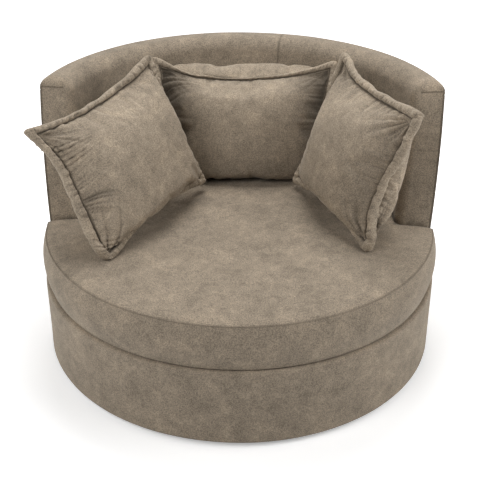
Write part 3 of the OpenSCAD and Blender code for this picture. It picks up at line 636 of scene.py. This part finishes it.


# Pillows
#
# Four numbers are for the left, right, lower and upper edge, or for the corners in the order of CORNERS.
# turn: yaw, lean and roll, in degrees
# draw, front, rear, twist: how far an edge is drawn in between its corners, how far the crown swells over it on
#     either side, and how far the pillow is warped, as shares of its thickness
# low: how much more the right edge is drawn in towards its foot
# ears, bumps, sway: how far a corner or a spot of an edge is moved and an edge bent to an S, in metres
# gathers, folds: strength of the wrinkles at edges and corners
# shade: how much painted shade darkens an edge that a neighbour covers
#
# CROOKED, WAVY, GATHER, RUFFLE, PUCKER and FOLD are the heights of a pillow's wrinkles and the PERIOD of each is how
# far apart they are, in metres, or in radians round a corner. CREST_LEVEL is what they lie above and below. BEHIND
# is a shift that gives the rear side wrinkles of its own.

PILLOWS = {
    "left_pillow": {
        "size": (0.530, 0.460), "seed": 11, "turn": (55.5, 28, 6.5), "twist": 0.117, "low": 0,
        "draw": (0.0, 0.08, 0.19, 0.21), "front": (0, 0.26, 0.31, 0), "rear": (0, 0, 0, 0),
        "sway": (0.018, 0, 0, 0.004), "bumps": ((-1, -1, 0.016, 0.014),),
        "ears": ((-0.024, -0.016), (0.008, -0.004), (-0.018, 0.000), (0.008, 0.008)),
        "gathers": (2.3, 0.9, 1.2, 0.8), "folds": (2.4, 1.0, 1.7, 1.0), "shade": (0, 0.2, 0.15, 0)},
    "centre_pillow": {
        "size": (0.630, 0.405), "seed": 23, "turn": (0, 25.5, 0), "twist": 0, "low": 0,
        "draw": (0.11, 0.11, 0.22, 0.34), "front": (0, 0, 0.56, 0), "rear": (0, 0, 0, 0.55),
        "sway": (0, 0, 0, 0.006), "bumps": (),
        "ears": ((0, 0), (0, 0), (-0.010, 0.016), (0.008, 0.010)),
        "gathers": (2.2, 2.2, 0.6, 0.4), "folds": (0.6, 0.6, 0.8, 0.8), "shade": (1.0, 1.0, 1.0, 0)},
    "right_pillow": {
        "size": (0.485, 0.455), "seed": 37, "turn": (-64, 18, -3), "twist": 0.022, "low": 1,
        "draw": (0.06, 0.16, 0.17, 0.14), "front": (0.04, 0, 0.25, 0), "rear": (0, 0.25, 0, 0),
        "sway": (0, 0.004, 0, 0.006), "bumps": ((1, -0.74, 0.024, 0.004),),
        "ears": ((-0.004, -0.008), (0.006, -0.006), (-0.003, 0.018), (0.010, 0.004)),
        "gathers": (0.2, 1.5, 0.6, 0.9), "folds": (0.6, 2.4, 1.2, 1.6), "shade": (0, 0.25, 0.15, 0)},
}
CORNERS = ((-1, -1), (1, -1), (-1, 1), (1, 1))
FLANGE_SHARES = (0, 0.10, 0.28, 0.50, 0.72, 0.88, 1.0)
CROWN_STEPS = (0.0025, 0.006, 0.0105, 0.016)
GRID_STEP = 0.0066
GROOVE, CROWN_FOOT = 0.0020, 0.0025
FRONT_SHARE, REAR_SHARE = 0.47, 0.53
SEAT_CLEAR, WALL_CLEAR = 0.0022, 0.0015
EAR_REACH, BUMP_REACH = 0.10, 0.05
CROOKED, CROOKED_PERIOD = 0.0030, 0.055
WAVY, WAVY_PERIOD = 0.0045, 0.075
GATHER, GATHER_PERIOD = 0.0062, 0.0175
RUFFLE, RUFFLE_PERIOD = 0.0034, 0.014
PUCKER, PUCKER_PERIOD = 0.0038, 0.026
FOLD, FOLD_PERIOD, FOLD_REACH = 0.0085, 0.24, 0.10
CREST_LEVEL = 0.45
SHADE_REACH = 0.19
BEHIND = 40.0
CLOTH_SETTINGS = {
    "quality": 6, "mass": 0.25, "tension_stiffness": 12, "compression_stiffness": 12, "shear_stiffness": 6,
    "bending_stiffness": 0.4, "use_pressure": True, "uniform_pressure_force": 3.2, "shrink_min": -0.035,
    "vertex_group_mass": "held"}
CLOTH_FRAMES, CLOTH_CAP = 18, 0.014


def pillow_lines(half, flange):
    """Grid lines across a pillow, close together at its flange and stitched groove."""
    edge = [share * flange for share in FLANGE_SHARES] + [flange + step for step in CROWN_STEPS]
    inner = half - edge[-1]
    steps = max(2, round(2 * inner / GRID_STEP))
    middle = [-inner + 2 * inner * k / steps for k in range(1, steps)]
    return np.array([e - half for e in edge] + middle + [half - e for e in edge[::-1]])


def pillow_puff(share):
    return (1 - (1 - np.clip(share, 0, 1)) ** 2.15) ** 0.66


def half_size(form):
    return form["size"][0] / 2, form["size"][1] / 2


def from_edges(form, x, y):
    """How far each point is from a pillow's upright and level edges."""
    a, b = half_size(form)
    return a - abs(x), b - abs(y)


def near_spot(x, y, at_x, at_y, reach):
    return np.exp(-((x - at_x) ** 2 + (y - at_y) ** 2) / reach ** 2)


def wrinkle(along, period, offset):
    """Uneven ripples along an edge, about -1 to 1."""
    values = np.array([noise.noise(Vector((a / period, offset, 0.37 * offset))) for a in along.ravel()])
    return np.clip(values * 1.9, -1, 1).reshape(along.shape)


def pillow_skin(form, x, y, side):
    """Points of a pillow's skin over the grid, in front of its seam (side 1) or behind it (side -1)."""
    s = sizes()
    thick, flange = s.pillow_thickness, s.flange
    (a, b), (ex, ey) = half_size(form), from_edges(form, x, y)
    u, v, e = x / a, y / b, np.minimum(ex, ey)
    bead = GROOVE + (s.flange_thickness / 2 - GROOVE) * np.sqrt(
        np.clip(1 - (2 * e / flange - 1) ** 2, 0, None))
    full = thick * (FRONT_SHARE if side > 0 else REAR_SHARE)
    crown = CROWN_FOOT + (full - CROWN_FOOT) * pillow_puff((ex - flange) / (a - flange)) * pillow_puff(
        (ey - flange) / (b - flange))
    half = np.where(e <= flange + 1e-6, bead, crown)

    def swell(edge):
        return np.sin(math.pi * np.clip((edge - flange) / (4.5 * flange), 0, 1))

    low = 1 - form["low"] * v * (u > 0)
    draw = [d * thick for d in form["draw"]]
    out = [d * thick for d in form["front" if side > 0 else "rear"]]
    pull_x = np.where(u < 0, draw[0], -draw[1] * low) * abs(u) ** 3 * (1 - v * v)
    pull_y = np.where(v < 0, draw[2], -draw[3]) * abs(v) ** 3 * (1 - u * u)
    out_x = np.where(u < 0, -out[0], out[1] * low) * swell(ex) * (1 - v ** 4)
    out_y = np.where(v < 0, -out[2], out[3]) * swell(ey) * (1 - u ** 4)
    return np.stack([x + pull_x + out_x, y + pull_y + out_y,
                     form["twist"] * thick * u * v + side * half], -1)


def limp_edges(form, x, y, points):
    """Lets the flange run crooked as a soft one does, with corners that stand out as ears."""
    a, b = half_size(form)
    u, v = x / a, y / b
    across, up, out = points.T.copy()
    rounded = 0.50 * sizes().flange * abs(u * v) ** 26
    across -= np.sign(u) * rounded
    up -= np.sign(v) * rounded
    spots = [(*corner, *ear, EAR_REACH) for corner, ear in zip(CORNERS, form["ears"])]
    spots += [(*bump, BUMP_REACH) for bump in form["bumps"]]
    for at_u, at_v, move_x, move_y, reach in spots:
        pull = near_spot(x, y, at_u * a, at_v * b, reach)
        across += move_x * pull
        up += move_y * pull
    sway, seed = form["sway"], form["seed"]
    across += np.where(u < 0, sway[0], sway[1]) * np.sin(math.pi * v) * abs(u) ** 3
    up += np.where(v < 0, sway[2], sway[3]) * np.sin(math.pi * u) * abs(v) ** 3
    near_x, near_y = abs(u) ** 6, abs(v) ** 6
    across += CROOKED * wrinkle(y, CROOKED_PERIOD, seed + 21.0) * near_x * (1 - v ** 8)
    up += CROOKED * wrinkle(x, CROOKED_PERIOD, seed + 27.0) * near_y * (1 - u ** 8)
    out += WAVY * wrinkle(x + y, WAVY_PERIOD, seed + 31.0) * np.maximum(near_x, near_y)
    return np.stack([across, up, out], -1)


def turn_matrix(turn):
    """Yaw about the vertical, lean back from upright and roll in the pillow's own plane, in degrees."""
    yaw, lean, roll = (math.radians(a) for a in (turn[0], 90 - turn[1], turn[2]))

    def about_z(a):
        return np.array([[math.cos(a), -math.sin(a), 0], [math.sin(a), math.cos(a), 0], [0, 0, 1]])

    about_x = np.array([[1, 0, 0], [0, math.cos(lean), -math.sin(lean)], [0, math.sin(lean), math.cos(lean)]])
    return about_z(yaw) @ about_x @ about_z(roll)


def pillow_shell(name, form):
    """A closed shell of two faces over one grid: a grid is added and extruded, and each side is shaped."""
    xs, ys = (pillow_lines(length / 2, sizes().flange) for length in form["size"])
    start_clean()
    bpy.ops.mesh.primitive_grid_add(x_subdivisions=len(xs) - 1, y_subdivisions=len(ys) - 1, size=2)
    piece = bpy.context.object
    piece.name = piece.data.name = name
    bpy.ops.object.mode_set(mode="EDIT")
    bpy.ops.mesh.select_all(action="SELECT")
    bpy.ops.mesh.extrude_region_move(TRANSFORM_OT_translate={"value": (0, 0, 1)})
    bpy.ops.mesh.select_all(action="SELECT")
    bpy.ops.mesh.normals_make_consistent(inside=False)
    bpy.ops.object.mode_set(mode="OBJECT")
    flat = point_array(piece)
    x, y = (lines[np.rint((flat[:, k] + 1) / 2 * (len(lines) - 1)).astype(int)]
            for k, lines in enumerate((xs, ys)))
    front = flat[:, 2] > 0.5
    put_points(piece, np.where(front[:, None], pillow_skin(form, x, y, 1), pillow_skin(form, x, y, -1)))
    return piece, x, y, front


def gather(form, x, y, facing):
    """Height of the gathers, corner folds and puckers at each point, and how much painted shade darkens their
    valleys and the edges that a neighbour covers.
    """
    flange, seed = sizes().flange, form["seed"]
    ex, ey = from_edges(form, x, y)
    e = np.minimum(ex, ey)
    behind = np.where(facing > 0, 0.0, BEHIND)
    lift, valley = np.zeros(len(x)), np.zeros(len(x))
    on_crown = smooth_step((e - flange) / 0.005)
    edges = ((x < 0, ex, y), (x > 0, ex, y), (y < 0, ey, x), (y > 0, ey, x))
    for k, (near, distance, along) in enumerate(edges):
        offset, gathers = seed + 3.7 * k, form["gathers"][k]
        into = np.clip(distance - flange, 0, None)
        slant = wrinkle(along, 0.14, offset + 2.0)
        crest = abs(wrinkle(along + behind + into * 0.45 * slant, GATHER_PERIOD, offset)) ** 0.7
        strength = 0.55 + 0.45 * wrinkle(along + behind, 0.075, offset + 5.0)
        reach = (0.026 + 0.020 * strength) * (0.7 + 0.5 * gathers)
        fade = bell(into, reach) * on_crown * near * strength * gathers
        lift += GATHER * fade * (crest - CREST_LEVEL)
        valley = np.maximum(valley, 0.75 * fade * (1 - crest) ** 3)
        owns = near & (distance <= e + 1e-9) & (e < flange)
        hump = np.sin(math.pi * np.clip(distance / flange, 0, 1))
        lift += np.where(owns, RUFFLE * wrinkle(along + behind, RUFFLE_PERIOD, offset + 9.0) * hump, 0)
        pinch = bell(wrinkle(along + behind + 0.2 * distance, PUCKER_PERIOD, offset + 13.0), 0.11)
        lift -= np.where(owns, PUCKER * pinch * hump, 0)
        valley = np.maximum(valley, np.where(owns, 0.65 * pinch * hump, 0))
        deep = smooth_step(1 - into / SHADE_REACH) ** 1.3
        # Painted shade on the crown's edges where a neighbouring pillow covers them.
        valley = np.maximum(valley, form["shade"][k] * deep * near * on_crown * (facing > 0))
    dx, dy = np.clip(ex - flange, 0, None), np.clip(ey - flange, 0, None)
    far, angle = np.hypot(dx, dy), np.arctan2(dy, dx)
    for k, (side_x, side_y) in enumerate(CORNERS):
        here = (np.sign(x) == side_x) & (np.sign(y) == side_y)
        crest = abs(wrinkle(angle + behind, FOLD_PERIOD, seed + 50.0 + k)) ** 0.8
        fade = smooth_step(far / 0.03) * bell(far, FOLD_REACH) * here * on_crown * form["folds"][k]
        lift += FOLD * fade * (crest - CREST_LEVEL)
        valley = np.maximum(valley, 0.60 * fade * (1 - crest) ** 3)
    return lift, valley


def inflate(piece, pinned):
    """Lets the stuffing press the cover out as cloth, held along its groove and flange."""
    before = point_array(piece)
    group = piece.vertex_groups.new(name="held")
    group.add([int(i) for i in np.nonzero(pinned)[0]], 1.0, "REPLACE")
    only(piece)
    bpy.ops.object.modifier_add(type="CLOTH")
    cloth = piece.modifiers[-1]
    for key, value in CLOTH_SETTINGS.items():
        setattr(cloth.settings, key, value)
    cloth.settings.effector_weights.gravity = 0
    cloth.collision_settings.use_collision = False
    cloth.point_cache.frame_start, cloth.point_cache.frame_end = 1, CLOTH_FRAMES + 2
    for number in range(1, CLOTH_FRAMES + 1):
        bpy.context.scene.frame_set(number)
    bpy.ops.object.modifier_apply(modifier=cloth.name)
    bpy.context.scene.frame_set(1)
    move = point_array(piece) - before
    far = np.linalg.norm(move, axis=1, keepdims=True)
    put_points(piece, before + move * np.minimum(1, CLOTH_CAP / np.maximum(far, 1e-9)))
    piece.vertex_groups.clear()


def rest(points):
    """Keeps a pillow off the seat and the wall, flattened where it would press into them."""
    r = np.hypot(points[:, 0], points[:, 1])
    points = points.copy()
    points[:, 2] = np.maximum(points[:, 2], at_each(seat_surface, r) + SEAT_CLEAR)
    wall = at_each(back_inner, points[:, 2]) - WALL_CLEAR
    behind = (points[:, 1] > 0.15) & (r > wall)
    points[behind, :2] *= (wall[behind] / r[behind])[:, None]
    return points


class ARMCHAIR_OT_pillows(bpy.types.Operator):
    """Makes the three loose pillows: stuffed flange, stitched groove, cloth under pressure, gathers"""

    bl_idname = "armchair.pillows"
    bl_label = "Pillows"

    def execute(self, context):
        for name, form in PILLOWS.items():
            self.pillow(name, form)
        return {"FINISHED"}

    def pillow(self, name, form):
        flange = sizes().flange
        piece, x, y, front = pillow_shell(name, form)
        matrix = turn_matrix(form["turn"])
        posed = point_array(piece) @ matrix.T
        lo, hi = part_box(name + "_cover")
        shift = (np.array(lo) + np.array(hi)) / 2 - (posed.min(0) + posed.max(0)) / 2
        put_points(piece, limp_edges(form, x, y, point_array(piece)))
        inflate(piece, np.minimum(*from_edges(form, x, y)) <= flange + 0.0001)
        put_points(piece, rest(point_array(piece) @ matrix.T + shift))
        for key, values in (("across", x), ("up", y), ("facing", np.where(front, 1.0, -1.0))):
            keep(piece, key, values)
        only(piece)
        bpy.ops.object.shade_smooth()
        bpy.ops.object.modifier_add(type="SUBSURF")
        piece.modifiers[-1].levels = piece.modifiers[-1].render_levels = 1
        bpy.ops.object.modifier_apply(modifier=piece.modifiers[-1].name)
        x, y, facing = (take(piece, key) for key in ("across", "up", "facing"))
        lift, valley = gather(form, x, y, facing)
        points = point_array(piece)
        for height, size in ((0.0022, 0.085), (0.0005, 0.022)):
            lift += height * soft_noise(points, size, form["seed"])
        put_points(piece, rest(points + normal_array(piece) * lift[:, None]))
        edge = np.minimum(*from_edges(form, x, y))
        # Painted shade in the stitched groove and in the valleys of the wrinkles.
        mark(piece, "crease", bell(edge - flange, 0.0030), valley)
        # Painted light: each pillow is made lighter all over, standing in for the light that falls on the pillows.
        mark(piece, "pale", np.full(len(points), 0.75))
        dress(piece, name, [name + "_cover", name + "_insert"])


# Materials


class Nodes:
    """Adds nodes to one tree. An input may be an output of another node, a number, or a colour."""

    def __init__(self, tree):
        self.tree = tree

    def add(self, kind, inputs=None, **values):
        made = self.tree.nodes.new("ShaderNode" + kind)
        for key, value in values.items():
            setattr(made, key, value)
        for key, value in (inputs or {}).items():
            self.feed(made.inputs[key], value)
        return made

    def feed(self, slot, value):
        if isinstance(value, bpy.types.NodeSocket):
            self.tree.links.new(value, slot)
        elif isinstance(value, (tuple, list)):
            slot.default_value = (*value[:3], 1.0)
        else:
            slot.default_value = value

    def noise(self, vector, scale, detail, roughness, distortion=0.0):
        return self.add("TexNoise", {"Vector": vector, "Scale": scale, "Detail": detail,
                                     "Roughness": roughness, "Distortion": distortion}).outputs["Fac"]

    def maths(self, operation, *values, clamp=False):
        return self.add("Math", dict(enumerate(values)), operation=operation, use_clamp=clamp).outputs[0]

    def plus(self, a, b):
        return self.maths("ADD", a, b)

    def times(self, a, b, clamp=False):
        return self.maths("MULTIPLY", a, b, clamp=clamp)

    def stretch(self, value, low, high, out_low=0.0, out_high=1.0):
        """Takes a value from one range to another, with soft ends."""
        return self.add("MapRange", {"Value": value, "From Min": low, "From Max": high, "To Min": out_low,
                                     "To Max": out_high}, interpolation_type="SMOOTHSTEP").outputs["Result"]

    def ramp(self, share, low, high):
        """Goes in a straight line from low to high as a share goes from 0 to 1."""
        return self.plus(self.times(share, high - low), low)

    def blend(self, share, first, second, mode="MIX"):
        return self.add("Mix", {0: share, 6: first, 7: second}, data_type="RGBA", blend_type=mode).outputs[2]

    def scaled(self, vector, factors):
        made = self.add("VectorMath", {0: vector}, operation="MULTIPLY")
        made.inputs[1].default_value = factors
        return made.outputs[0]

    def place(self, group, **inputs):
        made = self.tree.nodes.new("ShaderNodeGroup")
        made.node_tree = group
        for key, value in inputs.items():
            self.feed(made.inputs[key], value)
        return made.outputs

    def bump(self, height, distance, strength):
        made = self.add("Bump", {"Strength": strength, "Distance": distance, "Height": height})
        return made.outputs["Normal"]


SOCKETS = {type(None): "NodeSocketVector", tuple: "NodeSocketColor", float: "NodeSocketFloat"}


def shader_group(outputs, **inputs):
    """Makes a function that draws nodes into one that gives their group, drawn on its first use.

    An input is None for a place, a colour of four numbers, or a number.
    """
    def wrap(draw):
        def group():
            tree = bpy.data.node_groups.get(draw.__name__)
            if tree:
                return tree
            tree = bpy.data.node_groups.new(draw.__name__, "ShaderNodeTree")
            for title, value in inputs.items():
                item = tree.interface.new_socket(name=title, in_out="INPUT", socket_type=SOCKETS[type(value)])
                if value is not None:
                    item.default_value = value
            for title in outputs:
                tree.interface.new_socket(name=title, in_out="OUTPUT",
                                          socket_type=SOCKETS[tuple if title == "Color" else float])
            n = Nodes(tree)
            results = draw(n, tree.nodes.new("NodeGroupInput").outputs)
            out = tree.nodes.new("NodeGroupOutput")
            for title, result in zip(outputs, results):
                n.feed(out.inputs[title], result)
            return tree
        return group
    return wrap


@shader_group(("Color", "Height", "Roughness"), Position=None, Light=(0.37, 0.30, 0.22, 1),
              Middle=(0.30, 0.246, 0.185, 1), Dark=(0.235, 0.193, 0.145, 1), Crease=0.0, Rub=0.0, Pale=0.0)
def brushed_nap(n, given):
    """Mottled nap of the cover fabric, darkened by painted shade and lightened by painted light where the pieces are
    marked.
    """
    position = given["Position"]
    clouds = n.noise(position, 11, 3, 0.55, 0.4)
    patches = n.noise(position, 34, 5, 0.62, 0.6)
    flecks = n.noise(position, 290, 3, 0.65, 0.3)
    grain = n.noise(position, 620, 2, 0.6)
    broad = n.plus(n.times(clouds, 0.45), n.times(patches, 0.55))
    base = n.blend(n.stretch(broad, 0.36, 0.52), given["Dark"], given["Middle"])
    base = n.blend(n.stretch(broad, 0.50, 0.64), base, given["Light"])
    fine = n.plus(n.times(flecks, 0.6), n.times(grain, 0.4))
    base = n.blend(1.0, base, n.stretch(fine, 0.36, 0.64, 0.62, 1.38), "MULTIPLY")
    # Painted light: the marked pillows are made up to 1.3 times lighter.
    base = n.blend(1.0, base, n.ramp(given["Pale"], 1.0, 1.3), "MULTIPLY")
    base = n.blend(n.times(given["Rub"], 0.30), base, given["Light"])
    # Painted shade: the colour is mixed towards near black where it is marked as shaded.
    base = n.blend(n.times(given["Crease"], 0.85), base, (0.040, 0.032, 0.024))
    height = n.plus(n.times(fine, 0.8), n.times(patches, 0.2))
    return base, height, n.stretch(patches, 0.3, 0.7, 0.80, 0.95)


@shader_group(("Color", "Height", "Roughness"), Position=None, Light=(0.6, 0.43, 0.25, 1),
              Dark=(0.4, 0.26, 0.13, 1))
def timber_grain(n, given):
    """Long fibres and year lines of sawn timber or veneer, along the first axis of the place given."""
    years = n.noise(given["Position"], 1.0, 3, 0.5, 1.2)
    bands = n.maths("SINE", n.times(years, 42))
    fibres = n.noise(n.scaled(given["Position"], (1.0, 14.0, 14.0)), 6.0, 5, 0.7)
    mix = n.plus(n.times(n.stretch(bands, -1.0, 1.0), 0.45), n.times(fibres, 0.55))
    colour = n.blend(n.stretch(mix, 0.25, 0.8), given["Light"], given["Dark"])
    return colour, fibres, n.stretch(fibres, 0.3, 0.7, 0.55, 0.8)


@shader_group(("Mask",), Depth=0.0, Layer=0.0022)
def ply_lines(n, given):
    """Dark glue lines between the layers of a board, at a depth through it in metres."""
    wave = n.maths("SINE", n.times(n.maths("DIVIDE", given["Depth"], given["Layer"]), math.pi))
    return (n.stretch(wave, -0.35, 0.35),)


@shader_group(("Mask", "Height"), Position=None, Cells=400.0)
def open_cells(n, given):
    """Cells of foam or tufts of fibre."""
    cells = n.add("TexVoronoi", {"Vector": given["Position"], "Scale": given["Cells"]}).outputs["Distance"]
    rough = n.noise(given["Position"], 70, 4, 0.65)
    return n.stretch(n.plus(cells, n.times(rough, 0.6)), 0.25, 1.0), n.plus(cells, rough)


@shader_group(("Mask", "Height"), Position=None, Amount=0.5)
def surface_wear(n, given):
    """Where handling has rubbed a hard finish, as fine scratches inside larger scuffs."""
    scuffs = n.noise(given["Position"], 28, 5, 0.7, 0.8)
    scratches = n.noise(n.scaled(given["Position"], (30.0, 400.0, 400.0)), 1.0, 2, 0.6, 0.5)
    both = n.times(n.stretch(scuffs, 0.5, 0.72), n.stretch(scratches, 0.4, 0.6))
    return n.times(both, given["Amount"], clamp=True), n.noise(given["Position"], 900, 2, 0.6)


def new_material(name):
    """A material, its nodes, and its Object coordinates."""
    made = bpy.data.materials.new(name)
    made.use_nodes = True
    n = Nodes(made.node_tree)
    return made, n, n.add("TexCoord").outputs["Object"]


def shade(n, **inputs):
    """Feeds the inputs of a material's shader, named with _ for a space."""
    shader = next(k for k in n.tree.nodes if k.type == "BSDF_PRINCIPLED")
    for key, value in inputs.items():
        n.feed(shader.inputs[key.replace("_", " ")], value)


def fabric():
    """Mottled taupe brushed fabric."""
    name = "brushed_taupe_fabric"
    if name in bpy.data.materials:
        return bpy.data.materials[name]
    c = colours()
    made, n, position = new_material(name)
    marks = {key: n.add("Attribute", attribute_name=key.lower()).outputs["Fac"]
             for key in ("Crease", "Rub", "Pale")}
    nap = n.place(brushed_nap(), Position=position, Light=tuple(c.fabric_light), Middle=tuple(c.fabric_mid),
                  Dark=tuple(c.fabric_dark), **marks)
    shade(n, Base_Color=nap["Color"], Roughness=nap["Roughness"], Normal=n.bump(nap["Height"], 0.0006, 0.6),
          Sheen_Weight=0.25, Sheen_Roughness=0.45, Sheen_Tint=(0.85, 0.80, 0.72), Specular_IOR_Level=0.15)
    return made


def timber(name, light, dark, upright):
    """Sawn timber or veneered board, its grain along the board and its layers shown by dark lines."""
    made, n, position = new_material(name)
    along = n.scaled(position, (14, 14, 2.0) if upright else (3.0, 14, 14))
    grain = n.place(timber_grain(), Position=along, Light=light, Dark=dark)
    colour = grain["Color"]
    if not upright:
        depth = n.add("SeparateXYZ", {0: position}).outputs["Z"]
        normal = n.add("NewGeometry").outputs["Normal"]
        facing_up = n.maths("ABSOLUTE", n.add("SeparateXYZ", {0: normal}).outputs["Z"])
        lines = n.times(n.place(ply_lines(), Depth=depth)["Mask"], n.stretch(facing_up, 0.5, 0.8, 1.0, 0.0))
        colour = n.blend(lines, colour, tuple(c * 0.55 for c in dark))
    shade(n, Base_Color=colour, Roughness=grain["Roughness"], Normal=n.bump(grain["Height"], 0.0005, 0.5))
    return made


def soft_stuff(name, light, dark, cells, depth, sheen):
    """Foam, fibre or a felted cloth: cells or tufts of two tones."""
    made, n, position = new_material(name)
    stuff = n.place(open_cells(), Position=position, Cells=cells)
    height = stuff["Height"]
    shade(n, Base_Color=n.blend(stuff["Mask"], dark, light), Sheen_Weight=sheen, Specular_IOR_Level=0.1,
          Roughness=n.stretch(height, 0.2, 1.4, 0.85, 1.0), Normal=n.bump(height, depth, 0.8))
    return made


def hard_finish(name, colour, worn, roughness, metal, worn_metal, amount):
    """Plated or painted metal or moulded nylon, rubbed to another colour in places."""
    made, n, position = new_material(name)
    rubbed = n.place(surface_wear(), Position=position, Amount=amount)
    mask = rubbed["Mask"]
    tone = n.stretch(n.noise(position, 45, 4, 0.6), 0.3, 0.7)
    varied = n.blend(tone, tuple(c * 0.88 for c in colour), colour)
    gloss = n.stretch(tone, 0.0, 1.0, roughness * 0.85, roughness * 1.15)
    shade(n, Base_Color=n.blend(mask, varied, worn), Roughness=n.plus(gloss, n.times(mask, 0.15)),
          Metallic=metal if metal == worn_metal else n.ramp(mask, metal, worn_metal),
          Normal=n.bump(rubbed["Height"], 0.0002, 0.35))
    return made


PLY = ((0.62, 0.44, 0.25), (0.42, 0.27, 0.13))
BOARD = ((0.26, 0.15, 0.075), (0.17, 0.095, 0.045))
UPRIGHT = ("drum_posts_set", "arm_posts", "back_posts")
FINISHES = {
    "foam": (soft_stuff, (0.86, 0.79, 0.56), (0.66, 0.58, 0.36), 420.0, 0.0008, 0.0),
    "fibre": (soft_stuff, (0.90, 0.90, 0.89), (0.70, 0.70, 0.69), 160.0, 0.0020, 0.4),
    "cambric": (soft_stuff, (0.035, 0.035, 0.037), (0.012, 0.012, 0.013), 650.0, 0.0004, 0.2),
    "plywood": (timber, *PLY, False),
    "upright_timber": (timber, *PLY, True),
    "hardboard": (timber, *BOARD, True),
    "steel": (hard_finish, (0.62, 0.62, 0.64), (0.42, 0.41, 0.40), 0.34, 1.0, 1.0, 0.8),
    "black_steel": (hard_finish, (0.022, 0.022, 0.024), (0.34, 0.33, 0.32), 0.42, 0.0, 1.0, 0.5),
    "nylon": (hard_finish, (0.76, 0.75, 0.71), (0.50, 0.48, 0.44), 0.48, 0.0, 0.0, 0.9),
}


class ARMCHAIR_OT_finishes(bpy.types.Operator):
    """Gives every carried-over part of the frame, springs and swivel its own finish"""

    bl_idname = "armchair.finishes"
    bl_label = "Finishes of the frame"

    def execute(self, context):
        slots = {part["node"]: part["material_slot"] for part in frame["record"]["subparts"]}
        made = {slot: finish(slot + "_finish", *values) for slot, (finish, *values) in FINISHES.items()}
        made["cover_fabric"] = fabric()
        for name, piece in frame["nodes"].items():
            upright = name in UPRIGHT and slots[name] == "plywood"
            piece.data.materials.clear()
            piece.data.materials.append(made["upright_timber" if upright else slots[name]])
        return {"FINISHED"}


# Stage

LAMP_SIZE = 2.0
LAMP_AIM = (0, 0, 0.35)
LAMPS = {
    "low_left_light": ((-3.13, 0.0, 1.02), 25),
    "low_right_light": ((3.13, 0.0, 1.02), 26),
    "front_left_light": ((-1.41, -2.01, 2.41), 41),
    "high_right_light": ((2.22, -1.04, 2.41), 34),
    "rear_light": ((0.0, 1.35, 3.25), 66),
}
AMBIENT = 0.02
CAMERA_PLACE = (0.109, -2.7942, 1.8891)
CAMERA_AIM = (0.0013, 0.0, 0.3313)


def aim(thing, target):
    thing.rotation_euler = (Vector(target) - thing.location).to_track_quat("-Z", "Y").to_euler()


class ARMCHAIR_OT_stage(bpy.types.Operator):
    """Sets the pale floor, the plain light and the camera at the photograph's angle"""

    bl_idname = "armchair.stage"
    bl_label = "Stage"

    def execute(self, context):
        self.floor(context)
        self.world(context)
        for name, (place, power) in LAMPS.items():
            bpy.ops.object.light_add(type="AREA", location=place)
            lamp = context.object
            lamp.name = name
            lamp.data.shape, lamp.data.size, lamp.data.energy = "DISK", LAMP_SIZE, power
            lamp.visible_camera = False
            aim(lamp, LAMP_AIM)
        bpy.ops.object.camera_add(location=CAMERA_PLACE)
        camera = context.scene.camera = context.object
        camera.name = "camera"
        camera.data.lens, camera.data.sensor_width = 74.28, 36
        aim(camera, CAMERA_AIM)
        context.scene.view_settings.view_transform = "Standard"
        return {"FINISHED"}

    def floor(self, context):
        """A pale floor just under the glides, which the camera sees fade to white away from the chair."""
        start_clean()
        bpy.ops.mesh.primitive_plane_add(size=40, location=(0, 0, -0.0005))
        floor = context.object
        floor.name = "floor"
        made, n, position = new_material("pale_floor")
        pale = tuple(colours().stage)
        away = n.add("VectorMath", {0: position}, operation="LENGTH").outputs["Value"]
        seen = n.add("LightPath").outputs["Is Camera Ray"]
        shade(n, Base_Color=n.blend(n.noise(position, 2, 2, 0.5), tuple(c * 0.99 for c in pale), pale),
              Roughness=0.9, Specular_IOR_Level=0.0, Emission_Color=(1, 1, 1),
              Emission_Strength=n.times(seen, n.stretch(away, 0.66, 1.4, 0.37, 1.0)))
        floor.data.materials.append(made)

    def world(self, context):
        """White for the camera and for gloss, and very little light of its own."""
        world = context.scene.world = bpy.data.worlds.new("studio")
        world.use_nodes = True
        n = Nodes(world.node_tree)
        back = world.node_tree.nodes["Background"]
        rays = n.add("LightPath").outputs
        seen = n.maths("MAXIMUM", rays["Is Camera Ray"],
                       n.maths("MAXIMUM", rays["Is Glossy Ray"], rays["Is Transmission Ray"]))
        n.feed(back.inputs["Color"], (1, 1, 1))
        n.feed(back.inputs["Strength"], n.ramp(seen, AMBIENT, 1.0))


# Panel and run


class ARMCHAIR_PT_panel(bpy.types.Panel):
    """Lists the steps that dress the armchair"""

    bl_idname = "ARMCHAIR_PT_panel"
    bl_label = "Armchair"
    bl_space_type = "VIEW_3D"
    bl_region_type = "UI"
    bl_category = "Armchair"

    def draw(self, context):
        for step in STEPS:
            self.layout.operator(step.bl_idname)
        for group in (context.scene.armchair_sizes, context.scene.armchair_colours):
            for name in group.bl_rna.properties.keys():
                if name not in ("rna_type", "name"):
                    self.layout.prop(group, name)


STEPS = (ARMCHAIR_OT_drum, ARMCHAIR_OT_seat, ARMCHAIR_OT_back, ARMCHAIR_OT_pillows,
         ARMCHAIR_OT_finishes, ARMCHAIR_OT_stage)
CLASSES = (ArmchairSizes, ArmchairColours) + STEPS + (ARMCHAIR_PT_panel,)


def register():
    for made in CLASSES:
        bpy.utils.register_class(made)
    bpy.types.Scene.armchair_sizes = bpy.props.PointerProperty(type=ArmchairSizes)
    bpy.types.Scene.armchair_colours = bpy.props.PointerProperty(type=ArmchairColours)


def unregister():
    del bpy.types.Scene.armchair_colours
    del bpy.types.Scene.armchair_sizes
    for made in reversed(CLASSES):
        bpy.utils.unregister_class(made)


def main():
    register()
    for step in STEPS:
        group, name = step.bl_idname.split(".")
        getattr(getattr(bpy.ops, group), name)()


if __name__ == "__main__":
    main()
